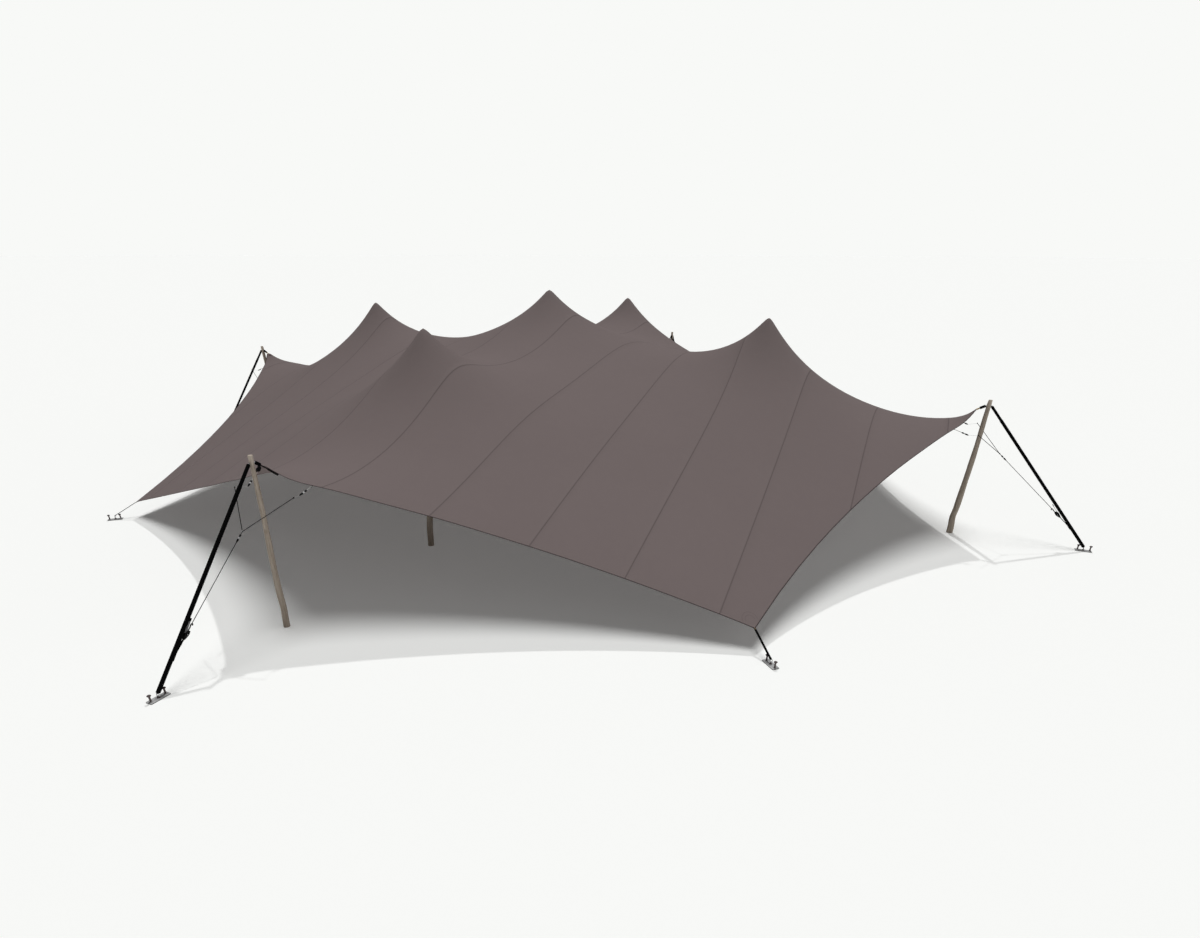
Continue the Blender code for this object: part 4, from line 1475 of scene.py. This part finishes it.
def flatten_ends(item, low, high):
    """Saw both ends level."""
    select_only(item)
    for height, direction in ((low, 1.0), (high, -1.0)):
        bpy.ops.object.mode_set(mode="EDIT")
        bpy.ops.mesh.select_all(action="SELECT")
        bpy.ops.mesh.bisect(
            plane_co=(0.0, 0.0, height + SAW_DEPTH * direction), plane_no=(0.0, 0.0, direction),
            use_fill=True, clear_inner=True)
        bpy.ops.object.mode_set(mode="OBJECT")


def cap_profile(x, y, top, settings):
    """The dome of a king pole's cap, which follows the cloth that lies on it."""
    profile = [
        (KING_RADIUS + KING_CAP_PROUD, top - KING_CAP_LENGTH),
        (KING_CAP_RADIUS, top - KING_CAP_LENGTH + KING_CAP_LIP),
    ]
    for radius in (KING_CAP_RADIUS, *KING_CAP_RINGS):
        cloth = min(CANOPY.on(x + radius * math.cos(turn), y + radius * math.sin(turn))
                    for turn in np.linspace(0.0, math.tau, 16, endpoint=False))
        profile.append((radius, cloth - settings.thickness - CAP_BELOW_CLOTH))
    return profile


class TENT_OT_side_poles(bpy.types.Operator):
    """Four leaning poles of peeled timber"""

    bl_idname = "tent.side_poles"
    bl_label = "Side poles"

    def execute(self, context):
        settings = context.scene.tent_timber
        for index, side in enumerate(SIDES):
            girth = GIRTHS[side.label]
            profile = (
                (SIDE_FOOT_RADIUS * girth, 0.0),
                (SIDE_NECK_RADIUS * girth, SIDE_HEIGHT - SIDE_NECK_BELOW_TOP),
                (SIDE_NECK_RADIUS * girth, SIDE_HEIGHT - SIDE_FLARE_BELOW_TOP),
                (SIDE_HEAD_RADIUS, SIDE_HEIGHT - SIDE_HEAD_BELOW_TOP),
                (SIDE_RIM_RADIUS, SIDE_HEIGHT))
            pole = round_pole("timber_side_" + side.label, side.foot, side.head, profile,
                              settings, SIDE_PHASE + index * SIDE_PHASE_STEP,
                              KINK_SHARES[side.label], HEAD_BAND_LENGTH)
            finish_piece(pole, ["side_pole_" + side.label])
        return {"FINISHED"}


class TENT_OT_king_poles(bpy.types.Operator):
    """Five inner poles of peeled timber, each with a rounded cap under the canopy"""

    bl_idname = "tent.king_poles"
    bl_label = "King poles"

    def execute(self, context):
        settings = context.scene.tent_timber
        canopy = context.scene.tent_canopy
        for index, (label, x, y, top) in enumerate(KINGS):
            head = Vector((x, y, top - KING_CAP_LENGTH))
            foot = Vector((x, y, 0.0))
            foot += foot.normalized() * KING_FOOT_OUT
            profile = ((KING_RADIUS, 0.0), (KING_RADIUS * KING_TAPER, head.z))
            pole = round_pole("timber_king_" + label, foot, head, profile, settings,
                              KING_PHASE + index * KING_PHASE_STEP)
            cap = turned("cap", cap_profile(x, y, top, canopy), 24, timber_material())
            put(cap, Matrix.Translation((x, y, 0.0)))
            keep_rest_place(cap, foot, head, index + 0.4)
            pole = joined(pole.name, [pole, cap])
            finish_piece(pole, ["king_pole_" + label])
        return {"FINISHED"}


# Straps

def eye_centre(anchor):
    return anchor + UP * (PLATE_THICKNESS + EYE_LIFT)


def pin_end(side, sign):
    """The outer (+1) or inner (-1) end of the pin through a side pole's neck."""
    middle = side.axis_at(SIDE_HEIGHT - PIN_BELOW_TOP)
    return middle + side.direction * (sign * (SIDE_NECK_RADIUS + PIN_EYE_OVERHANG))


def strap_route(side):
    """Upper and lower end of a side strap, from the pole's pin to the anchor's ring."""
    return pin_end(side, 1.0), eye_centre(side.anchor) + UP * (EYE_RADIUS - SLEEVE_OVER_EYE)


def sleeve(name, start, end, stations, material, sides=20):
    """A round padded strap between two points, through (distance, radius) stations."""
    along = (end - start).normalized()
    path = [tuple(start + along * distance) for distance, _ in stations]
    return swept(name, tube_rings(path, [radius for _, radius in stations], sides), material)


def rounded_run(low, high, radius):
    """Stations of a straight round stretch with softened ends."""
    soft = radius * SLEEVE_SOFT_END
    middle = [low + (high - low) * part / 8.0 for part in range(1, 8)]
    return [(low, radius - soft), (low + soft, radius), *((place, radius) for place in middle),
            (high - soft, radius), (high, radius - soft)]


def strap_pieces(side, settings):
    """A padded sleeve, slimmer near the pole, and the flat loops through pin and ring."""
    upper, lower = strap_route(side)
    along = (lower - upper).normalized()
    black = black_webbing()
    waist = settings.slim_length
    bottom = (lower - upper).length - settings.loop_length
    slim = rounded_run(SLEEVE_TOP, waist + SLEEVE_OVERLAP, settings.slim_radius)
    full = rounded_run(waist, bottom, settings.sleeve_radius)
    ring_widths, pin_widths = [
        [settings.narrow_width * share for share in shares]
        for shares in (RING_LOOP_SHARES, PIN_LOOP_SHARES)]
    return [
        sleeve("sleeve", upper, lower, slim, black),
        sleeve("sleeve", upper, lower, full, black),
        bar_loop("ring_loop", upper + along * (bottom - RING_LOOP_START), lower, side.across,
                 EYE_BAR_RADIUS, ring_widths, black),
        bar_loop("pin_loop", upper + along * (SLEEVE_TOP + PIN_LOOP_START), upper,
                 side.across, PIN_LOOP_BAR, pin_widths, black),
    ]


def bar_loop(name, start, bar, across, bar_radius, widths, material):
    """Webbing that narrows from a start point to a bar, round it and back."""
    radius = bar_radius + LOOP_THICKNESS * 0.6
    along = (bar - start).normalized()
    through = across.cross(along)
    turn = arc(bar, -through, along, radius, 0.0, math.pi, 9)
    near = start - through * (radius * 0.6)
    far = start + through * (radius * 0.6)
    path = [near, near.lerp(turn[0], 0.5), *turn, far.lerp(turn[-1], 0.5), far]
    wide, narrow = widths
    width = [wide, (wide + narrow) / 2.0, *[narrow] * len(turn), (wide + narrow) / 2.0, wide]
    rings = ribbon_rings([tuple(point) for point in path], across, width, LOOP_THICKNESS)
    return swept(name, rings, material)


def pole_pin(side, material):
    """A steel pin through the pole's neck with a small eye at each end."""
    middle = side.axis_at(SIDE_HEIGHT - PIN_BELOW_TOP)
    reach = SIDE_NECK_RADIUS + PIN_OVERHANG
    path = straight(middle - side.direction * reach, middle + side.direction * reach, 6)
    shapes = [swept("pin", tube_rings(path, PIN_RADIUS, 12), material)]
    for sign in (-1.0, 1.0):
        eye = ring("pin_eye", PIN_EYE_RADIUS, PIN_EYE_BAR, material)
        shapes.append(put(eye, axes_matrix(pin_end(side, sign), side.direction, UP)))
    return shapes


class TENT_OT_side_straps(bpy.types.Operator):
    """Long black webbing from each side pole's pin down to its anchor"""

    bl_idname = "tent.side_straps"
    bl_label = "Side straps"

    def execute(self, context):
        settings = context.scene.tent_webbing
        bright = bright_steel(context.scene.tent_steel)
        for side in SIDES:
            shapes = strap_pieces(side, settings) + pole_pin(side, bright)
            strap = joined("webbing_side_" + side.label, shapes)
            finish_piece(strap, ["side_strap_" + side.label])
        return {"FINISHED"}


def tip_edge(side):
    """The outline function of the edge beside a side's tip."""
    return front_edge if side.on_y else right_edge


def under_canopy(x, y, cloth):
    """The height at which webbing lies under the cloth."""
    return CANOPY.on(x, y) - cloth - UNDER_CLOTH


def on_side(side, point, sign):
    """Carry a point of the front right quarter's edge to this side, left or right of it."""
    sideways = abs(point.dot(side.across))
    outwards = abs(point.dot(side.direction))
    return side.direction * outwards + side.across * (sign * sideways)


def tip_leg(side, sign, start, settings, cloth, material):
    """One leg of the black V, from the webbing's end down along the hem's outer edge."""
    edge = tip_edge(side)
    path = [tuple(start)]
    for t in np.linspace(0.002, LEG_REACH, 12):
        here = on_side(side, edge(t), sign)
        ahead = on_side(side, edge(t + 0.002), sign)
        outward = (ahead - here).normalized().cross(UP)
        if outward.dot(side.direction) < 0.0:
            outward.negate()
        place = here + outward * (settings.width * LEG_OVERHANG)
        path.append((place.x, place.y, under_canopy(*(here.xy * LEG_INSET), cloth)))
    narrow = settings.narrow_width
    widths = [narrow, *np.linspace(narrow, settings.width, 3), *[settings.width] * 9]
    across = np.cross(path_tangents(path), UP)
    return swept("leg", ribbon_rings(path, across, widths, LEG_THICKNESS), material)


def tip_pieces(side, settings, cloth, black, pale):
    """Black webbing from the pole's pin to the tip: on a V at front and back, else on a link."""
    pin = pin_end(side, -1.0)
    tip = side.tip + side.direction * TIP_OVERHANG
    tip.z = CANOPY.on(side.tip.x, side.tip.y) - cloth
    length = (tip - pin).length
    split = length - TIP_LINK_SHARE * length
    core = [(distance, TIP_CORE_RADIUS) for distance in (0.0, length / 2.0, length)]
    shapes = [
        sleeve("webbing", pin, tip, rounded_run(0.002, split, settings.tip_radius), black),
        sleeve("core", pin, tip, core, black, 10),
    ]
    if side.on_y:
        start = pin.lerp(tip, (split - TIP_LEG_OVERLAP) / length)
        shapes += [tip_leg(side, sign, start, settings, cloth, black) for sign in (-1.0, 1.0)]
    else:
        link = rounded_run(split + TIP_LINK_GAP, length, settings.link_radius)
        shapes.append(sleeve("link", pin, tip, link, pale))
    return shapes


class TENT_OT_tip_webbings(bpy.types.Operator):
    """Short webbing at each raised tip, with a sewn V at front and back and a pale link at the
    sides
    """

    bl_idname = "tent.tip_webbings"
    bl_label = "Tip webbings"

    def execute(self, context):
        settings = context.scene.tent_webbing
        cloth = context.scene.tent_canopy.thickness
        black = black_webbing()
        pale = webbing_material("pale_link", settings.link_color)
        for side in SIDES:
            shapes = tip_pieces(side, settings, cloth, black, pale)
            piece = joined("webbing_tip_" + side.label, shapes)
            finish_piece(piece, ["tip_webbing_" + side.label])
        return {"FINISHED"}


def corner_leg(corner, outwards, sign, cloth, material):
    """One leg of the black V sewn under a low corner."""
    spread = Matrix.Rotation(sign * math.radians(CORNER_LEG_TURN), 4, "Z") @ outwards
    places = [corner - spread * distance for distance in np.linspace(*CORNER_LEG_RUN, 9)]
    path = [(place.x, place.y, under_canopy(place.x, place.y, cloth)) for place in places]
    rings = ribbon_rings(path, UP.cross(spread), CORNER_LEG_WIDTH, CORNER_LEG_THICKNESS)
    return swept("leg", rings, material)


class TENT_OT_corner_straps(bpy.types.Operator):
    """Narrow black webbing from each low corner to its anchor"""

    bl_idname = "tent.corner_straps"
    bl_label = "Corner straps"

    def execute(self, context):
        settings = context.scene.tent_webbing
        cloth = context.scene.tent_canopy.thickness
        black = black_webbing()
        pale = webbing_material("pale_link", settings.link_color)
        width = settings.corner_width
        for corner in CORNERS:
            height = CANOPY.on(corner.ground.x, corner.ground.y) - cloth / 2.0
            start = corner.ground + UP * height
            ring_top = eye_centre(corner.anchor) + UP * EYE_RADIUS
            along = (ring_top - start).normalized()
            band = straight(
                start + along * BAND_FROM_CORNER, ring_top - along * BAND_FROM_RING, 10)
            shapes = [
                swept("band", ribbon_rings(band, corner.across, width, BAND_THICKNESS), black),
                sleeve("link", start, ring_top, rounded_run(*CORNER_LINK), pale, 14),
                bar_loop("loop", ring_top - along * CORNER_LOOP_LENGTH, ring_top,
                         corner.across, EYE_BAR_RADIUS, (width, width * CORNER_LOOP_SHARE),
                         black)]
            shapes += [corner_leg(start, corner.direction, sign, cloth, black)
                       for sign in (-1.0, 1.0)]
            strap = joined("webbing_corner_" + corner.label, shapes)
            finish_piece(strap, ["corner_strap_" + corner.label])
        return {"FINISHED"}


# Bridles and ratchets

def tail_start(side):
    """Where the ratchet's tail meets the tent-side face of the strap."""
    upper, lower = strap_route(side)
    along = (lower - upper).normalized()
    facing = side.across.cross(along)
    if facing.dot(side.direction) > 0.0:
        facing.negate()
    share = (upper.z - TAIL_HEIGHT) / (upper.z - lower.z)
    return upper.lerp(lower, share) + facing * bpy.context.scene.tent_webbing.sleeve_radius


def ratchet_frame(side):
    """Axes of a ratchet: X up the bridle, Y across, Z away from the strap. And the hook's tip."""
    tail = tail_start(side)
    along = (side.place(*FORK_PLACE) - tail).normalized()
    hook = tail + along * (TAIL_LENGTH + RATCHET_LENGTH + HOOK_LENGTH)
    return axes_matrix(tail, along, side.across), hook


def bent_path(start, stations, per_span):
    """A smooth upright path through (along, height) stations after a start."""
    return smooth_path([(start + along, 0.0, height) for along, height in stations], per_span)


def ratchet_shapes(settings):
    """One ratchet at the origin: side plates, drum, wound webbing, lever, hook and tail."""
    black = black_steel(settings)
    bright = bright_steel(settings)
    cloth = black_webbing()
    low = TAIL_LENGTH
    high = low + RATCHET_LENGTH
    drum_place = low + DRUM_ALONG
    level = Matrix.Rotation(math.radians(90.0), 4, "X")
    shapes = []
    for sign in (-1.0, 1.0):
        path = [(low + along, sign * sideways, height)
                for along, sideways, height, _ in PLATE_STATIONS]
        depths = [depth for *_, depth in PLATE_STATIONS]
        rings = ribbon_rings(path, UP, depths, SIDE_PLATE_THICKNESS)
        shapes.append(swept("plate", rings, black))
        wheel = turned("wheel", WHEEL_PROFILE, 16, black)
        turn = Matrix.Translation((drum_place, sign * WHEEL_SIDEWAYS, 0.0)) @ level
        shapes.append(put(wheel, turn @ Matrix.Translation((0.0, 0.0, -WHEEL_HALF_WIDTH))))
    axle = Matrix.Translation((drum_place, 0.0, 0.0)) @ level
    shapes.append(put(turned("drum", DRUM_PROFILE, 16, bright), axle))
    shapes.append(put(turned("wound", WOUND_PROFILE, 24, cloth), axle))
    shapes += lever_shapes(drum_place, bright, black)
    shapes.append(block("bridge", BRIDGE_SIZE, (high - BRIDGE_INSET, 0.0, 0.0), 0.002, black))
    hook = tube_rings(bent_path(high, HOOK_PATH, 4), HOOK_RADIUS, 12)
    shapes.append(swept("hook", hook, black))
    tail = ribbon_rings(
        bent_path(0.0, TAIL_PATH, 4), (0.0, 1.0, 0.0), TAIL_WIDTH, TAIL_THICKNESS)
    shapes.append(swept("tail", tail, cloth))
    shapes.append(block("buckle", BUCKLE_SIZE, (low - BUCKLE_BELOW, 0.0, BUCKLE_HEIGHT), 0.001,
                        bright))
    return shapes


def lever_shapes(pivot, bright, black):
    """The long lever of a ratchet, which lies beside the strap, with a black grip on its end."""
    across = (0.0, 1.0, 0.0)
    blade = ribbon_rings(bent_path(pivot, LEVER_PATH, 5), across, LEVER_WIDTH, LEVER_THICKNESS)
    grip = ribbon_rings(bent_path(pivot, GRIP_PATH, 5), across, GRIP_WIDTH, GRIP_THICKNESS)
    return [swept("blade", blade, bright), swept("grip", grip, black)]


def smooth_path(points, per_span):
    """A smooth curve through points, by Catmull-Rom spans."""
    points = [np.array(point, float) for point in points]
    padded = [points[0] * 2 - points[1], *points, points[-1] * 2 - points[-2]]
    path = []
    for a, b, c, d in zip(padded, padded[1:], padded[2:], padded[3:]):
        for step in range(per_span):
            t = step / per_span
            path.append(0.5 * (2 * b + (c - a) * t + (2 * a - 5 * b + 4 * c - d) * t ** 2
                               + (3 * b - a - 3 * c + d) * t ** 3))
    path.append(points[-1])
    return np.array(path)


class TENT_OT_ratchets(bpy.types.Operator):
    """The small ratchet at the foot of each bridle"""

    bl_idname = "tent.ratchets"
    bl_label = "Ratchets"

    def execute(self, context):
        shapes = ratchet_shapes(context.scene.tent_steel)
        model = joined("ratchet_model", shapes)
        for side in SIDES:
            twin = copy_of(model, "steel_ratchet_" + side.label)
            put(twin, ratchet_frame(side)[0])
            finish_piece(twin, ["ratchet_" + side.label])
        bpy.data.objects.remove(model, do_unlink=True)
        return {"FINISHED"}


def fitting_shapes(start, along, black, bright):
    """A cord tensioner: black bead at the start, silver sleeve, tapered black barrel."""
    turn = Matrix.Translation(start) @ along.to_track_quat("Z", "Y").to_matrix().to_4x4()
    profiles = (FITTING_BEAD, FITTING_SLEEVE, FITTING_BARREL)
    return [put(turned("fitting", profile, 14, material), turn)
            for profile, material in zip(profiles, (black, bright, black))]


def hem_place(side, sign, cloth):
    """Where a bridle's leg is sewn to the canopy's edge, beside the tip."""
    point = tip_edge(side)(HEM_ALONG)
    level = on_side(side, point, sign)
    return Vector((level.x, level.y, under_canopy(*(level.xy * HEM_INSET), cloth)))


def bridle_shapes(side, context):
    """The dark line with its ring and fitting, and two legs out to the canopy's edge."""
    colors = context.scene.tent_bridle
    steel = context.scene.tent_steel
    dark = webbing_material("dark_line", colors.line_color, 0.002, 0.3)
    pale = webbing_material("pale_cord", colors.pale_color, 0.002, 0.15)
    black = black_steel(steel)
    bright = bright_steel(steel)
    cloth = context.scene.tent_canopy.thickness
    radius = colors.line_radius
    fork = side.place(*FORK_PLACE)
    hook_tip = ratchet_frame(side)[1]
    hook = hook_tip - (fork - hook_tip).normalized() * HOOK_OVERLAP
    down = (hook - fork).normalized()
    shapes = [swept("line", tube_rings(straight(hook, fork, 12), radius), dark)]
    knot = ring("fork_ring", FORK_RING_RADIUS, FORK_RING_BAR, bright)
    shapes.append(put(knot, axes_matrix(fork, UP, down.cross(UP).cross(down))))
    shapes += fitting_shapes(fork + down * FITTING_BELOW_FORK, down, black, bright)
    for sign in (-1.0, 1.0):
        bend, clamp = [side.place(outwards, sign * sideways, height)
                       for outwards, sideways, height in (BEND_PLACE, CLAMP_PLACE)]
        hem = hem_place(side, sign, cloth)
        reach = (hem - clamp).normalized()
        shapes.append(swept("leg", tube_rings(straight(fork, bend, 10), radius), dark))
        cord = tube_rings(straight(bend, clamp, 6), colors.cord_radius)
        shapes.append(swept("cord", cord, pale))
        toggle = turned("toggle", TOGGLE_PROFILE, 12, black)
        shapes.append(put(toggle, Matrix.Translation(bend)))
        shapes += fitting_shapes(clamp + reach * FITTING_LENGTH, -reach, black, bright)
        link = tube_rings(straight(clamp + reach * HEM_LINK_START, hem, 4), radius)
        shapes.append(swept("link", link, pale))
        tab = ribbon_rings(straight(hem - reach * TAB_OUTSIDE, hem + reach * TAB_INSIDE, 4),
                           side.across, TAB_WIDTH, TAB_THICKNESS)
        shapes.append(swept("tab", tab, black_webbing()))
    return shapes


class TENT_OT_bridles(bpy.types.Operator):
    """The forked thin line from each ratchet to the canopy's edge"""

    bl_idname = "tent.bridles"
    bl_label = "Bridles"

    def execute(self, context):
        for side in SIDES:
            bridle = joined("line_bridle_" + side.label, bridle_shapes(side, context))
            finish_piece(bridle, ["bridle_" + side.label])
        return {"FINISHED"}


# Anchors

def stake_shape(material):
    """A steel stake's top: shaft and mushroom head, leaning outwards."""
    stations = [((STAKE_LEAN * height, 0.0, height), radius)
                for radius, height in STAKE_PROFILE]
    item = grown("stake", stations, 20, material)
    smooth_by_angle(item, HARD_ANGLE)
    return item


def anchor_shapes(settings):
    """One anchor at the origin, X outwards: plate, two stakes, and the ring on its boss."""
    # The plate and its collars get painted shade on their upright faces
    plate_steel = steel_material("plate_steel", settings.plate_color, 0.55, 0.2,
                                 upright_painted_shade=0.85)
    eye_steel = steel_material("eye_steel", settings.bright_color, 0.45, 0.2)
    stake_steel = steel_material("stake_steel", settings.stake_color, 0.6, 0.4)
    shapes = [block("plate", (PLATE_LENGTH, PLATE_WIDTH, PLATE_THICKNESS),
                    (0.0, 0.0, PLATE_THICKNESS / 2.0), PLATE_SOFT_EDGE, plate_steel,
                    corner=PLATE_CORNER)]
    for sign in (-1.0, 1.0):
        place = Matrix.Translation((sign * STAKE_OFFSET, 0.0, 0.0))
        shapes.append(put(stake_shape(stake_steel), place))
        collar = turned("collar", COLLAR_PROFILE, 24, plate_steel)
        shapes.append(put(collar, place))
    shapes.append(turned("boss", BOSS_PROFILE, 24, stake_steel))
    eye = ring("eye", EYE_RADIUS, EYE_BAR_RADIUS, eye_steel)
    turn = Matrix(((0.0, 0.0, 1.0), (1.0, 0.0, 0.0), (0.0, 1.0, 0.0))).to_4x4()
    shapes.append(put(eye, Matrix.Translation(eye_centre(Vector((0.0, 0.0, 0.0)))) @ turn))
    return shapes


class TENT_OT_anchors(bpy.types.Operator):
    """Eight steel ground plates, each with two stakes and a ring"""

    bl_idname = "tent.anchors"
    bl_label = "Anchors"

    def execute(self, context):
        model = joined("anchor_model", anchor_shapes(context.scene.tent_steel))
        for place in (*SIDES, *CORNERS):
            twin = copy_of(model, "steel_anchor_" + place.label)
            put(twin, axes_matrix(place.anchor, place.direction, place.across))
            finish_piece(twin, ["anchor_" + place.label])
        bpy.data.objects.remove(model, do_unlink=True)
        return {"FINISHED"}


# Stage

def add_floor(settings):
    deselect()
    bpy.ops.mesh.primitive_circle_add(
        vertices=96, radius=settings.floor_radius, fill_type="TRIFAN")
    floor = bpy.context.active_object
    floor.name = "floor"
    floor.data.materials.append(floor_material(settings))


def add_sky(settings):
    """Even light from all round. The camera sees the backdrop's own colour past the floor."""
    world = bpy.data.worlds.new("studio")
    bpy.context.scene.world = world
    world.use_nodes = True
    tree = world.node_tree
    tree.nodes.clear()
    light = add_node(tree, "ShaderNodeBackground",
                     {"Color": WHITE, "Strength": settings.sky_light})
    seen = add_node(tree, "ShaderNodeBackground", {"Color": settings.backdrop_color})
    ray = tree.nodes.new("ShaderNodeLightPath").outputs["Is Camera Ray"]
    mix = add_node(tree, "ShaderNodeMixShader",
                   {0: ray, 1: light.outputs[0], 2: seen.outputs[0]})
    output = tree.nodes.new("ShaderNodeOutputWorld")
    tree.links.new(mix.outputs[0], output.inputs["Surface"])


def add_lamp(name, strength, angle, travel):
    """A distant light that travels in one direction and spans an angle of the sky."""
    data = bpy.data.lights.new(name, "SUN")
    data.energy = strength
    data.angle = angle
    lamp = bpy.data.objects.new(name, data)
    lamp.rotation_euler = Vector(travel).to_track_quat("-Z", "Y").to_euler()
    bpy.context.scene.collection.objects.link(lamp)


def add_lamps(settings):
    """A crisp sun from behind, a broad light overhead and a weak fill from each side."""
    add_lamp("sun", settings.sun_light, settings.sun_angle, SUN_TRAVEL)
    add_lamp("overhead", settings.overhead_light, settings.overhead_angle, -UP)
    fills = (settings.front_light, settings.right_light, settings.back_light,
             settings.left_light)
    for side, strength in zip(SIDES, fills):
        travel = -side.direction - UP * FILL_DROP
        add_lamp("fill_" + side.label, strength, settings.fill_angle, travel)


def add_camera():
    """The photograph's camera: its lens, place and turn."""
    data = bpy.data.cameras.new("camera")
    data.sensor_fit = "HORIZONTAL"
    data.sensor_width = SENSOR_WIDTH
    data.lens = FOCAL_PIXELS * SENSOR_WIDTH / IMAGE_WIDTH
    data.clip_end = CLIP_END
    camera = bpy.data.objects.new("camera", data)
    ahead = Vector((-math.sin(CAMERA_YAW) * math.cos(CAMERA_PITCH),
                    math.cos(CAMERA_YAW) * math.cos(CAMERA_PITCH), -math.sin(CAMERA_PITCH)))
    right = Vector((math.cos(CAMERA_YAW), math.sin(CAMERA_YAW), 0.0))
    upwards = right.cross(ahead)
    rolled_right = right * math.cos(CAMERA_ROLL) + upwards * math.sin(CAMERA_ROLL)
    rolled_up = upwards * math.cos(CAMERA_ROLL) - right * math.sin(CAMERA_ROLL)
    turn = Matrix((rolled_right, rolled_up, -ahead)).transposed().to_4x4()
    camera.matrix_world = Matrix.Translation(CAMERA_PLACE) @ turn
    bpy.context.scene.collection.objects.link(camera)
    bpy.context.scene.camera = camera


class TENT_OT_stage(bpy.types.Operator):
    """Camera, soft light and pale floor"""

    bl_idname = "tent.stage"
    bl_label = "Stage"

    def execute(self, context):
        settings = context.scene.tent_stage
        context.scene.view_settings.view_transform = "Standard"
        add_camera()
        add_sky(settings)
        add_lamps(settings)
        add_floor(settings)
        return {"FINISHED"}


class TENT_PT_panel(bpy.types.Panel):
    """Lists the tent's pieces in the order they are built"""

    bl_idname = "TENT_PT_panel"
    bl_label = "Stretch Tent"
    bl_space_type = "VIEW_3D"
    bl_region_type = "UI"
    bl_category = "Tent"

    def draw(self, context):
        for operator in OPERATORS:
            self.layout.operator(operator.bl_idname)


SETTINGS = {
    "tent_stage": StageSettings,
    "tent_canopy": CanopySettings,
    "tent_timber": TimberSettings,
    "tent_webbing": WebbingSettings,
    "tent_bridle": BridleSettings,
    "tent_steel": SteelSettings,
}
OPERATORS = (
    TENT_OT_stage,
    TENT_OT_king_poles,
    TENT_OT_canopy,
    TENT_OT_side_poles,
    TENT_OT_side_straps,
    TENT_OT_tip_webbings,
    TENT_OT_corner_straps,
    TENT_OT_ratchets,
    TENT_OT_bridles,
    TENT_OT_anchors,
)


def register():
    for name, group in SETTINGS.items():
        bpy.utils.register_class(group)
        setattr(bpy.types.Scene, name, PointerProperty(type=group))
    for operator in OPERATORS:
        bpy.utils.register_class(operator)
    bpy.utils.register_class(TENT_PT_panel)


def unregister():
    bpy.utils.unregister_class(TENT_PT_panel)
    for operator in reversed(OPERATORS):
        bpy.utils.unregister_class(operator)
    for name, group in SETTINGS.items():
        delattr(bpy.types.Scene, name)
        bpy.utils.unregister_class(group)


def main():
    register()
    bpy.ops.tent.stage()
    bpy.ops.tent.king_poles()
    bpy.ops.tent.canopy()
    bpy.ops.tent.side_poles()
    bpy.ops.tent.side_straps()
    bpy.ops.tent.tip_webbings()
    bpy.ops.tent.corner_straps()
    bpy.ops.tent.ratchets()
    bpy.ops.tent.bridles()
    bpy.ops.tent.anchors()


if __name__ == "__main__":
    main()
